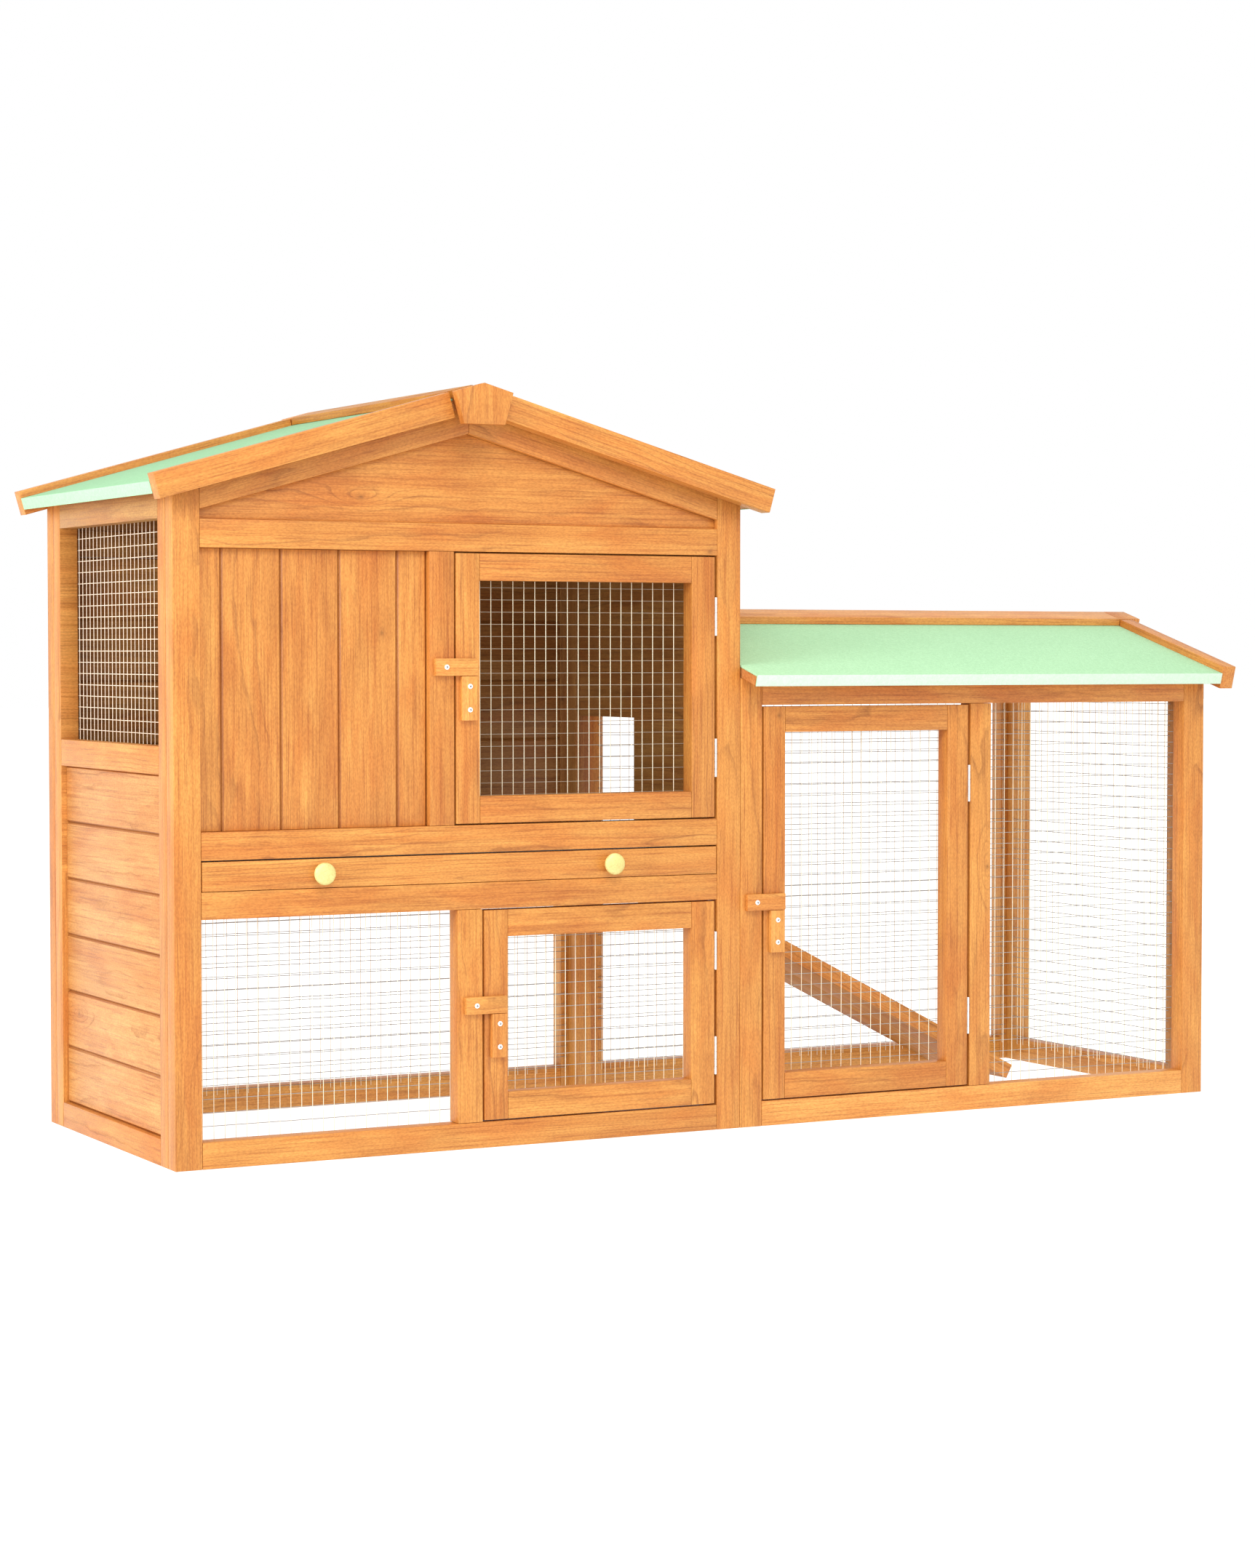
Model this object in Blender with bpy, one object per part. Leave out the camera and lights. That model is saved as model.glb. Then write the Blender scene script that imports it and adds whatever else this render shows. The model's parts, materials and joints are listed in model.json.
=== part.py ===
"""Two-storey rabbit hutch with a side run.

A tall house stands on the left: an upper room with a plank panel, a mesh door
and a slide-out tray as its floor, over a lower storey that opens into a lower
run on the right. A ramp climbs through the run to a doorway in the house's
right wall. Both roofs are pitched boards covered with felt.

Everything is drawn in hutch coordinates: x runs along the front from the
house's left face, y runs back from the front face, z runs up from the ground.
The finished objects are shifted so that the world origin lies under the middle
of the whole object. Lengths are metres.
"""
import math

import bmesh
import bpy
from mathutils import Vector

# ---------------------------------------------------------------- dimensions
HOUSE_W = 0.750          # width of the tall house
TOTAL_W = 1.476          # house and run together, over the posts
DEPTH = 0.458            # front face to back face
GAP = 0.0003             # air left between touching pieces

FRAME_T = 0.024          # thickness of the front and back frames
SIDE_T = 0.023           # thickness of the side frames
POST_W = 0.033           # width of the posts in the front and back frames
RAIL_H = 0.033           # height of the rails
STILE_W = 0.026          # width of the side frames' upright boards
BASE_RAIL_H = 0.0315     # height of the rails on the ground

LOWER_RAIL_Z = 0.290     # underside of the rail below the tray
TRAY_Z = 0.322           # top of that rail: the tray slot starts here
DECK_RAIL_Z = 0.3585     # underside of the rail above the tray
UPPER_ROOM_Z = DECK_RAIL_Z + RAIL_H
GABLE_RAIL_Z = 0.720     # underside of the rail under the front gable
WALL_TOP = 0.7874        # underside of the house roof at the wall's outer face
SIDE_MID_Z = 0.457       # underside of the left side's middle rail
RUN_RAIL_Z = 0.533       # underside of the run's top rail
RUN_WALL_TOP = 0.5672    # underside of the run roof at the front face

MULLION_W = 0.0325       # upright between plank panel, doors and mesh
UPPER_MULLION_X = 0.3226
LOWER_MULLION_X = 0.3595
RUN_POST_W = 0.032
RUN_MULLION_X = 1.0967
DOORWAY = (0.252, 0.408, 0.513)   # y from, y to, top of the doorway

PITCH = math.atan(0.2824)         # slope of both roofs
SLAB_T = 0.0147                   # board and felt, square to the slope
HOUSE_EAVE_X = -0.031             # felt edge beyond the house's left face
RUN_EAVE_Y = -0.0407              # felt edge in front of the run
BARGE_T = 0.0206                  # thickness of the barge boards
BARGE_H = 0.0307                  # height of the barge boards, square to slope
BARGE_RISE = 0.0091               # how far a barge stands above the felt
BARGE_INSET_Y = -0.0097           # roof slab and barge meet at this y
BARGE_TIP_X = -0.0332             # top corner of the barge's low end
RUN_BARGE_TIP_Y = -0.0426
KEY_OUT = 0.0148                  # the apex key stands this far off the barge
KEY_TOP_HALF = 0.0379
KEY_LOW_HALF = 0.0269
KEY_H = 0.0384                    # height of the key's slanted sides
KEY_PLATE_T = 0.0118              # front key: a plate on a narrower core
KEY_CORE_INSET = 0.0090
CAP_HALF = 0.0379                 # half width of the ridge cap
CAP_T = 0.0092                    # thickness of the ridge cap boards

DOOR_T = 0.022                    # door frame thickness
DOOR_STILE = 0.0315
DOOR_RAIL = 0.0325
DOOR_GAP_FREE = 0.0024            # gap on the latch side
DOOR_GAP_HINGE = 0.0038           # gap on the hinge side
DOOR_GAP_V = 0.0020               # gap above and below
HINGE_H = 0.048
BARREL_R = 0.0016

LATCH_T = 0.0070                  # turn button and catch block thickness
LATCH_LONG = 0.0412               # pivot to the button's working end
LATCH_SHORT = 0.0143              # pivot to the button's other end
LATCH_H = 0.0210
CATCH_W = 0.0208
CATCH_H = 0.0535

MESH_T = 0.0016                   # thickness over both layers of wire
MESH_LAP = 0.008                  # how far the mesh laps behind its frame

TRAY_WALL = 0.008
TRAY_FRONT_T = 0.012
KNOB_R = 0.0133
KNOB_LEN = 0.0145

RAMP_Y = (0.242, 0.425)
RAMP_SLOPE = math.atan(0.5155)
RAMP_T = 0.0204
CLEAT_W = 0.012
CLEAT_H = 0.006
CLEAT_COUNT = 7
CLEAT_INSET = 0.036               # cleats stop short of the ramp's long edges

SLOPE = math.tan(PITCH)
MID_X = HOUSE_W / 2
MID_Y = DEPTH / 2
RIGHT_POST_X = HOUSE_W - POST_W
RUN_RIGHT_POST_X = TOTAL_W - POST_W
RUN_OPEN_X = HOUSE_W + RUN_POST_W
OBJECT_MID_X = (BARGE_TIP_X + TOTAL_W + BARGE_T + KEY_OUT) / 2
ORIGIN = Vector((OBJECT_MID_X, MID_Y, 0.0))

# -------------------------------------------------------------- clean start
for old in list(bpy.data.objects):
    bpy.data.objects.remove(old)


# ----------------------------------------------------------------- materials
def make_material(name, colour, roughness, metallic=0.0):
    material = bpy.data.materials.new(name)
    material.use_nodes = True
    shader = material.node_tree.nodes["Principled BSDF"]
    shader.inputs["Base Color"].default_value = (*colour, 1.0)
    shader.inputs["Roughness"].default_value = roughness
    shader.inputs["Metallic"].default_value = metallic
    return material


WOOD = (0.90, 0.42, 0.12)
FELT = (0.50, 0.82, 0.48)
PALE_WOOD = (0.98, 0.93, 0.42)
ZINC = (0.80, 0.81, 0.82)
PAN = (0.72, 0.74, 0.75)


# ---------------------------------------------------------- building helpers
def finish(name, mesh_builder, colour, roughness, metallic, pivot, smooth):
    """Turn a bmesh into a named object whose origin is at pivot."""
    bmesh.ops.recalc_face_normals(mesh_builder, faces=mesh_builder.faces)
    bmesh.ops.translate(mesh_builder, verts=mesh_builder.verts, vec=-Vector(pivot))
    mesh = bpy.data.meshes.new(name)
    mesh_builder.to_mesh(mesh)
    mesh_builder.free()
    mesh.materials.append(make_material(name, colour, roughness, metallic))
    if smooth:
        mesh.shade_smooth()
        mesh.set_sharp_from_angle(angle=math.radians(35))
    thing = bpy.data.objects.new(name, mesh)
    thing.location = Vector(pivot) - ORIGIN
    bpy.context.scene.collection.objects.link(thing)
    return thing


def place(axis, u, v, depth):
    """Point from its flat coordinates (u, v) and its depth along axis."""
    if axis == "X":
        return Vector((depth, u, v))
    if axis == "Y":
        return Vector((u, depth, v))
    return Vector((u, v, depth))


def relief(name, axis, cells, back, colour=WOOD, pivot=(0, 0, 0),
           roughness=0.55, metallic=0.0, bend=None):
    """One closed body from flat cells that share their corners.

    Each cell is (outline, front): a polygon in the plane across axis, and the
    depth of its front face. All cells share one back depth, and neighbours
    with different fronts are joined by a step. bend, if given, is a function
    that moves each finished point to its place.
    """
    def key(point):
        return (round(point[0], 6), round(point[1], 6))

    levels = {}
    edges = {}
    for outline, front in cells:
        for i, point in enumerate(outline):
            levels.setdefault(key(point), {back}).add(front)
            pair = (key(point), key(outline[(i + 1) % len(outline)]))
            edges.setdefault(frozenset(pair), []).append((pair, front))

    builder = bmesh.new()
    made = {}

    def vertex(point, depth):
        spot = (point, round(depth, 6))
        if spot not in made:
            at = place(axis, point[0], point[1], depth)
            made[spot] = builder.verts.new(bend(at) if bend else at)
        return made[spot]

    for outline, front in cells:
        builder.faces.new([vertex(key(p), front) for p in outline])
        builder.faces.new([vertex(key(p), back) for p in reversed(outline)])
    for uses in edges.values():
        (start, end), first = uses[0]
        other = uses[1][1] if len(uses) == 2 else back
        if abs(first - other) < 1e-9:
            continue
        low, high = min(first, other), max(first, other)
        up = [d for d in sorted(levels[start]) if low - 1e-9 <= d <= high + 1e-9]
        down = [d for d in sorted(levels[end]) if low - 1e-9 <= d <= high + 1e-9]
        loop = [vertex(start, d) for d in up]
        loop += [vertex(end, d) for d in reversed(down)]
        builder.faces.new(loop)
    return finish(name, builder, colour, roughness, metallic, pivot, False)


def grid_cells(us, vs, front, skip=(), top=None):
    """Rectangles between the lines us and vs, without the (i, j) in skip.

    top, if given, is a function of u that replaces the highest v line.
    """
    def level(u, j):
        if top is not None and j == len(vs) - 1:
            return top(u)
        return vs[j]

    cells = []
    for i in range(len(us) - 1):
        for j in range(len(vs) - 1):
            if (i, j) in skip:
                continue
            left, right = us[i], us[i + 1]
            outline = [(left, level(left, j)), (right, level(right, j)),
                       (right, level(right, j + 1)), (left, level(left, j + 1))]
            cells.append((outline, front))
    return cells


def prism(name, axis, outline, low, high, colour=WOOD, pivot=(0, 0, 0),
          roughness=0.55, metallic=0.0, smooth=False):
    """A flat outline pushed along axis from low to high."""
    builder = bmesh.new()
    base = [builder.verts.new(place(axis, u, v, low)) for u, v in outline]
    face = builder.faces.new(base)
    grown = bmesh.ops.extrude_face_region(builder, geom=[face])
    moved = [g for g in grown["geom"] if isinstance(g, bmesh.types.BMVert)]
    bmesh.ops.translate(builder, verts=moved, vec=place(axis, 0, 0, high - low))
    return finish(name, builder, colour, roughness, metallic, pivot, smooth)


def board(name, x, y, z, colour=WOOD, pivot=(0, 0, 0), roughness=0.55, metallic=0.0):
    """A straight board between pairs of x, y and z limits."""
    outline = [(x[0], y[0]), (x[1], y[0]), (x[1], y[1]), (x[0], y[1])]
    return prism(name, "Z", outline, z[0], z[1], colour, pivot, roughness, metallic)


def mirrored(points, middle):
    """The same outline on the other side of the line u = middle."""
    return [(2 * middle - u, v) for u, v in points]


# ------------------------------------------------------------- roof profiles
def house_under(x):
    """Underside of the house roof above x."""
    return WALL_TOP + SLOPE * min(x, HOUSE_W - x)


def run_under(y):
    """Underside of the run roof above y."""
    return RUN_WALL_TOP + SLOPE * min(y, DEPTH - y)


def slope_piece(wall_top, start, end_u, lift, thickness, square_end=True):
    """Outline of a board that lies on the slope, from its low tip to end_u.

    lift is the height of its underside above the slab's underside, square to
    the slope. The low end is cut square to the board. The high end is square
    too, or upright when square_end is False.
    """
    cos, sin = math.cos(PITCH), math.sin(PITCH)

    def line(u, offset):
        return wall_top + SLOPE * u + offset / cos

    tip_top = (start, line(start, lift + thickness))
    foot_u = start + thickness * sin
    tip_foot = (foot_u, line(foot_u, lift))
    high_foot_u = end_u + thickness * sin if square_end else end_u
    return [tip_foot, (high_foot_u, line(high_foot_u, lift)),
            (end_u, line(end_u, lift + thickness)), tip_top]


BARGE_LIFT = SLAB_T + BARGE_RISE - BARGE_H
CAP_LIFT = SLAB_T + GAP


def ridge_cap(name, axis, middle, ridge_under, low, high):
    """Two thin boards mitred over the ridge, in one piece."""
    lift = CAP_LIFT / math.cos(PITCH)
    thick = CAP_T / math.cos(PITCH)
    drop = SLOPE * CAP_HALF
    base = ridge_under + lift
    outline = [(middle - CAP_HALF, base - drop), (middle, base),
               (middle + CAP_HALF, base - drop),
               (middle + CAP_HALF, base - drop + thick),
               (middle, base + thick), (middle - CAP_HALF, base - drop + thick)]
    return prism(name, axis, outline, low, high)


def key_outline(middle, ridge_under):
    """The apex key: slanted sides, with a top pitched like the ridge cap."""
    top = ridge_under + (CAP_LIFT + CAP_T) / math.cos(PITCH)
    side = top - SLOPE * KEY_TOP_HALF
    foot = side - KEY_H
    return [(middle - KEY_LOW_HALF, foot), (middle + KEY_LOW_HALF, foot),
            (middle + KEY_TOP_HALF, side), (middle, top),
            (middle - KEY_TOP_HALF, side)]


# ------------------------------------------------------------ small hardware
def hinge(name, x, z):
    """A narrow butt hinge: a barrel on the door's axis and a leaf on the post."""
    leaf_from = x + BARREL_R * 0.55
    leaf_to = x + DOOR_GAP_HINGE / 2 - GAP
    centre_y = -GAP
    leaf_end = 0.020
    steps = 12
    outline = [(leaf_to, centre_y), (leaf_to, leaf_end), (leaf_from, leaf_end)]
    first = math.acos((leaf_from - x) / BARREL_R)
    for i in range(steps + 1):
        angle = first + i * (2 * math.pi - first) / steps
        outline.append((x + BARREL_R * math.cos(angle), centre_y + BARREL_R * math.sin(angle)))
    return prism(name, "Z", outline, z, z + HINGE_H, ZINC, (x, 0, z), 0.35, 1.0, True)


def knob(name, x, z, front_y):
    """A turned wooden knob: a short neck and a rounded head."""
    profile = [(0.0, 0.0), (0.0078, 0.0), (0.0070, 0.0035), (0.0105, 0.0052),
               (0.0129, 0.0075), (KNOB_R, 0.0100), (0.0128, 0.0124),
               (0.0108, 0.0139), (0.0070, KNOB_LEN), (0.0, KNOB_LEN)]
    builder = bmesh.new()
    sides = 32
    rings = []
    for radius, out in profile[1:-1]:
        ring = []
        for i in range(sides):
            angle = 2 * math.pi * i / sides
            spot = (x + radius * math.cos(angle), front_y - out, z + radius * math.sin(angle))
            ring.append(builder.verts.new(spot))
        rings.append(ring)
    for lower, upper in zip(rings, rings[1:]):
        for i in range(sides):
            j = (i + 1) % sides
            builder.faces.new((lower[i], lower[j], upper[j], upper[i]))
    builder.faces.new(rings[0])
    builder.faces.new(rings[-1])
    return finish(name, builder, PALE_WOOD, 0.4, 0.0, (x, front_y, z), True)


def latch(label, pivot_x, pivot_z, catch_x):
    """A turn button on its screw, and the catch block that it rests on."""
    pivot = (pivot_x, 0, pivot_z)
    board(label + "_turn_button",
          (pivot_x - LATCH_SHORT, pivot_x + LATCH_LONG),
          (-LATCH_T - GAP, -GAP),
          (pivot_z - LATCH_H / 2, pivot_z + LATCH_H / 2), WOOD, pivot)
    catch_top = pivot_z - LATCH_H / 2 - GAP
    hinge_at = HINGE_AXES[label]
    board(label + "_catch_block", (catch_x, catch_x + CATCH_W),
          (-LATCH_T, -GAP), (catch_top - CATCH_H, catch_top), WOOD, hinge_at)


def door(label, opening_x, opening_z, window_x):
    """A door frame with its mesh, hung on the right of its opening."""
    left = opening_x[0] + DOOR_GAP_FREE
    right = opening_x[1] - DOOR_GAP_HINGE
    low = opening_z[0] + DOOR_GAP_V
    high = opening_z[1] - DOOR_GAP_V
    pivot = HINGE_AXES[label]
    xs = [left, window_x[0], window_x[1], right]
    zs = [low, low + DOOR_RAIL, high - DOOR_RAIL, high]
    relief(label + "_frame", "Y", grid_cells(xs, zs, 0.0, skip={(1, 1)}), DOOR_T,
           WOOD, pivot)
    board(label + "_mesh",
          (window_x[0] - MESH_LAP, window_x[1] + MESH_LAP),
          (DOOR_T + GAP, DOOR_T + GAP + MESH_T),
          (zs[1] - MESH_LAP, zs[2] + MESH_LAP), ZINC, pivot, 0.35, 1.0)


def fixed_mesh_y(name, x, z, y):
    """A mesh panel lapped on the frame around the opening x by z."""
    board(name, (x[0] - MESH_LAP, x[1] + MESH_LAP), (y, y + MESH_T),
          (z[0] - MESH_LAP, z[1] + MESH_LAP), ZINC, (0, 0, 0), 0.35, 1.0)


def fixed_mesh_x(name, y, z, x):
    board(name, (x, x + MESH_T), (y[0] - MESH_LAP, y[1] + MESH_LAP),
          (z[0] - MESH_LAP, z[1] + MESH_LAP), ZINC, (0, 0, 0), 0.35, 1.0)


# Upright hinge axes, in the gap at the right of each door.
HINGE_AXES = {
    "upper_door": (RIGHT_POST_X - DOOR_GAP_HINGE / 2, 0.0, UPPER_ROOM_Z),
    "lower_door": (RIGHT_POST_X - DOOR_GAP_HINGE / 2, 0.0, BASE_RAIL_H),
    "run_door": (RUN_MULLION_X - DOOR_GAP_HINGE / 2, 0.0, BASE_RAIL_H),
}

# --------------------------------------------------- house: the front frame
RAFTER_H = 0.0313
RAFTER_FOOT = WALL_TOP - RAFTER_H / math.cos(PITCH)


def rafter_foot(x):
    return RAFTER_FOOT + SLOPE * min(x, HOUSE_W - x)


def front_post(name, x):
    outline = [(x[0], 0), (x[1], 0), (x[1], house_under(x[1]) - GAP),
               (x[0], house_under(x[0]) - GAP)]
    prism(name, "Y", outline, 0, FRAME_T)


front_post("house_front_left_post", (0, POST_W))
front_post("house_front_right_post", (RIGHT_POST_X, HOUSE_W))
BETWEEN = (POST_W + GAP, RIGHT_POST_X - GAP)
board("house_gable_rail", BETWEEN, (0, FRAME_T), (GABLE_RAIL_Z, GABLE_RAIL_Z + RAIL_H))
board("house_deck_rail", BETWEEN, (0, FRAME_T), (DECK_RAIL_Z, UPPER_ROOM_Z))
board("house_lower_rail", BETWEEN, (0, FRAME_T), (LOWER_RAIL_Z, TRAY_Z))
board("house_front_base_rail", BETWEEN, (0, FRAME_T), (0, BASE_RAIL_H))
board("house_upper_mullion", (UPPER_MULLION_X, UPPER_MULLION_X + MULLION_W),
      (0, FRAME_T), (UPPER_ROOM_Z + GAP, GABLE_RAIL_Z - GAP))
board("house_lower_mullion", (LOWER_MULLION_X, LOWER_MULLION_X + MULLION_W),
      (0, FRAME_T), (BASE_RAIL_H + GAP, LOWER_RAIL_Z - GAP))

# The front gable fills the space between the posts, above the gable rail:
# two rafters standing 8 mm proud of a recessed board.
GABLE_RECESS = 0.008
gable_foot = GABLE_RAIL_Z + RAIL_H + GAP
side_l, side_r = POST_W + GAP, RIGHT_POST_X - GAP
corner_l, corner_r = (side_l, rafter_foot(side_l)), (side_r, rafter_foot(side_r))
top_l, top_r = (side_l, house_under(side_l) - GAP), (side_r, house_under(side_r) - GAP)
peak_low = (MID_X, rafter_foot(MID_X))
peak_top = (MID_X, house_under(MID_X) - GAP)
relief("house_front_gable", "Y", [
    ([corner_l, peak_low, peak_top, top_l], 0.0),
    ([peak_low, corner_r, top_r, peak_top], 0.0),
    ([(corner_l[0], gable_foot), (corner_r[0], gable_foot), corner_r, peak_low, corner_l],
     GABLE_RECESS),
], FRAME_T)

# The plank panel left of the upper door: five upright boards, set back.
PANEL_RECESS = 0.008
PANEL_BACK = 0.018
GROOVE_W = 0.0048
GROOVE_D = 0.0024
PLANK_JOINTS = (0.0620, 0.1360, 0.2095, 0.2840)


def plank_edges(start, joints, end):
    """Board and groove limits as (from, to, is_groove)."""
    spans = []
    at = start
    for joint in joints:
        spans.append((at, joint - GROOVE_W / 2, False))
        spans.append((joint - GROOVE_W / 2, joint + GROOVE_W / 2, True))
        at = joint + GROOVE_W / 2
    spans.append((at, end, False))
    return spans


panel_z = (UPPER_ROOM_Z + GAP, GABLE_RAIL_Z - GAP)
cells = []
for a, b, groove in plank_edges(POST_W + GAP, PLANK_JOINTS, UPPER_MULLION_X - GAP):
    outline = [(a, panel_z[0]), (b, panel_z[0]), (b, panel_z[1]), (a, panel_z[1])]
    cells.append((outline, PANEL_RECESS + (GROOVE_D if groove else 0.0)))
relief("house_plank_panel", "Y", cells, PANEL_BACK)
fixed_mesh_y("house_lower_mesh", (POST_W, LOWER_MULLION_X), (BASE_RAIL_H, LOWER_RAIL_Z),
             FRAME_T + GAP)

# ---------------------------------------------------- house: the back frame
BACK_Y = DEPTH - FRAME_T
xs = [0, POST_W, MID_X, RIGHT_POST_X, HOUSE_W]
zs = [0, BASE_RAIL_H, LOWER_RAIL_Z, TRAY_Z, GABLE_RAIL_Z, WALL_TOP]
relief("house_back_frame", "Y",
       grid_cells(xs, zs, BACK_Y, skip={(1, 1), (2, 1), (1, 3), (2, 3)},
                  top=lambda x: house_under(x) - GAP), DEPTH)
cells = []
back_joints = [TRAY_Z + 0.0796 * i for i in range(1, 5)]
for a, b, groove in plank_edges(TRAY_Z + GAP, back_joints, GABLE_RAIL_Z - GAP):
    outline = [(BETWEEN[0], a), (BETWEEN[1], a), (BETWEEN[1], b), (BETWEEN[0], b)]
    cells.append((outline, BACK_Y + 0.002 + (GROOVE_D if groove else 0.0)))
relief("house_back_planks", "Y", cells, BACK_Y + 0.012)
fixed_mesh_y("house_back_mesh", (POST_W, RIGHT_POST_X), (BASE_RAIL_H, LOWER_RAIL_Z),
             BACK_Y - GAP - MESH_T)

# ---------------------------------------------------- house: the left side
side_y = [FRAME_T + GAP, FRAME_T + STILE_W, BACK_Y - STILE_W, BACK_Y - GAP]
side_z = [0, BASE_RAIL_H, SIDE_MID_Z, SIDE_MID_Z + RAIL_H, WALL_TOP - RAIL_H, WALL_TOP - GAP]
relief("house_left_frame", "X",
       grid_cells(side_y, side_z, 0.0, skip={(1, 1), (1, 3)}), SIDE_T)
SLAT_COUNT = 6
slat_h = (SIDE_MID_Z - BASE_RAIL_H) / SLAT_COUNT
slat_joints = [BASE_RAIL_H + slat_h * i for i in range(1, SLAT_COUNT)]
cells = []
for a, b, groove in plank_edges(BASE_RAIL_H + GAP, slat_joints, SIDE_MID_Z - GAP):
    outline = [(side_y[1] + GAP, a), (side_y[2] - GAP, a), (side_y[2] - GAP, b),
               (side_y[1] + GAP, b)]
    cells.append((outline, 0.007 + (GROOVE_D if groove else 0.0)))
relief("house_left_slats", "X", cells, 0.017)
fixed_mesh_x("house_left_mesh", (side_y[1], side_y[2]), (side_z[3], side_z[4]), SIDE_T + GAP)

# --------------------------------------------------- house: the right side
wall_x = HOUSE_W - SIDE_T
right_z = [0, LOWER_RAIL_Z, TRAY_Z, WALL_TOP - RAIL_H, WALL_TOP - GAP]
relief("house_right_frame", "X",
       grid_cells(side_y, right_z, wall_x, skip={(1, 0), (1, 2)}), HOUSE_W)
ys = [side_y[1] + GAP, DOORWAY[0], side_y[2] - GAP]
zs = [TRAY_Z + GAP, DOORWAY[2], WALL_TOP - RAIL_H - GAP]
relief("house_right_wall", "X", grid_cells(ys, zs, wall_x + 0.006, skip={(1, 0)}),
       wall_x + 0.016)

# ------------------------------------------------------- house: tray and floor
SHELF_T = 0.006
board("tray_shelf", (SIDE_T + GAP, wall_x - GAP), (FRAME_T + GAP, 0.4315),
      (TRAY_Z - GAP - SHELF_T, TRAY_Z - GAP))
TRAY_X = (POST_W + 0.0012, RIGHT_POST_X - 0.0012)
TRAY_TOP = DECK_RAIL_Z - 0.0018
TRAY_BACK = 0.4290
TRAY_LOW = TRAY_Z + 0.0006
board("tray_front", TRAY_X, (0, TRAY_FRONT_T), (TRAY_LOW, TRAY_TOP))


def open_box(name, x, y, z, wall, floor, colour):
    """A box with no lid: one closed body with a pocket from above."""
    builder = bmesh.new()
    rings = []
    for inset, height in ((0, z[0]), (0, z[1]), (wall, z[1]), (wall, z[0] + floor)):
        ring = [(x[0] + inset, y[0] + inset), (x[1] - inset, y[0] + inset),
                (x[1] - inset, y[1] - inset), (x[0] + inset, y[1] - inset)]
        rings.append([builder.verts.new((u, v, height)) for u, v in ring])
    for outer, inner in zip(rings, rings[1:]):
        for i in range(4):
            j = (i + 1) % 4
            builder.faces.new((outer[i], outer[j], inner[j], inner[i]))
    builder.faces.new(rings[0])
    builder.faces.new(rings[-1])
    return finish(name, builder, colour, 0.4, 0.9, (0, 0, 0), False)


open_box("tray_pan", TRAY_X, (TRAY_FRONT_T + GAP, TRAY_BACK), (TRAY_LOW, TRAY_TOP - 0.004),
         0.003, 0.003, PAN)
KNOB_Z = (TRAY_LOW + TRAY_TOP) / 2
knob("tray_knob_left", 0.183, KNOB_Z, -GAP)
knob("tray_knob_right", 0.567, KNOB_Z, -GAP)

# ------------------------------------------------------------------- doors
LOWER_DOOR_X = LOWER_MULLION_X + MULLION_W
UPPER_DOOR_X = UPPER_MULLION_X + MULLION_W
door("upper_door", (UPPER_DOOR_X, RIGHT_POST_X), (UPPER_ROOM_Z, GABLE_RAIL_Z),
     (UPPER_DOOR_X + DOOR_GAP_FREE + DOOR_STILE, 0.6805))
door("lower_door", (LOWER_DOOR_X, RIGHT_POST_X), (BASE_RAIL_H, LOWER_RAIL_Z),
     (LOWER_DOOR_X + DOOR_GAP_FREE + DOOR_STILE, 0.6805))
door("run_door", (RUN_OPEN_X, RUN_MULLION_X), (BASE_RAIL_H, RUN_RAIL_Z),
     (RUN_OPEN_X + DOOR_GAP_FREE + DOOR_STILE, 1.0605))
for label, heights in (("upper_door", (0.4436, 0.6199)),
                       ("lower_door", (0.0699, 0.2018)),
                       ("run_door", (0.1004, 0.4046))):
    for place_name, height in zip(("lower", "upper"), heights):
        hinge(f"{label}_{place_name}_hinge", HINGE_AXES[label][0], height)
latch("upper_door", 0.3422, 0.5816, 0.3626)
latch("lower_door", 0.3812, 0.1738, 0.4016)
latch("run_door", 0.7714, 0.2845, 0.7911)

# --------------------------------------------------------------------- run
RUN_X = HOUSE_W + GAP
xs = [RUN_X, RUN_OPEN_X, RUN_MULLION_X, RUN_MULLION_X + RUN_POST_W, RUN_RIGHT_POST_X, TOTAL_W]
zs = [0, BASE_RAIL_H, RUN_RAIL_Z, RUN_WALL_TOP - GAP]
relief("run_front_frame", "Y", grid_cells(xs, zs, 0.0, skip={(1, 1), (3, 1)}), FRAME_T)
fixed_mesh_y("run_front_mesh", (RUN_MULLION_X + RUN_POST_W, RUN_RIGHT_POST_X),
             (BASE_RAIL_H, RUN_RAIL_Z), FRAME_T + GAP)
xs = [RUN_X, RUN_OPEN_X, RUN_RIGHT_POST_X, TOTAL_W]
relief("run_back_frame", "Y", grid_cells(xs, zs, BACK_Y, skip={(1, 1)}), DEPTH)
fixed_mesh_y("run_back_mesh", (RUN_OPEN_X, RUN_RIGHT_POST_X), (BASE_RAIL_H, RUN_RAIL_Z),
             BACK_Y - GAP - MESH_T)
end_y = [side_y[0], side_y[1], MID_Y, side_y[2], side_y[3]]
relief("run_right_frame", "X",
       grid_cells(end_y, zs, TOTAL_W, skip={(1, 1), (2, 1)},
                  top=lambda y: run_under(y) - GAP), TOTAL_W - SIDE_T)
fixed_mesh_x("run_right_mesh", (side_y[1], side_y[2]), (BASE_RAIL_H, RUN_RAIL_Z),
             TOTAL_W - SIDE_T - GAP - MESH_T)

# The ramp leans on the rail under the doorway and stands on the ground.
ramp_cos, ramp_sin = math.cos(RAMP_SLOPE), math.sin(RAMP_SLOPE)
RAMP_TOP_Z = 0.3180
ramp_foot_z = RAMP_T * ramp_cos
ramp_length = (RAMP_TOP_Z - ramp_foot_z) / ramp_sin
ramp_start = (HOUSE_W + GAP, RAMP_TOP_Z)


def on_ramp(along, up):
    """Point at a distance along the ramp's top face, and square up from it."""
    return (ramp_start[0] + along * ramp_cos + up * ramp_sin,
            ramp_start[1] - along * ramp_sin + up * ramp_cos)


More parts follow.
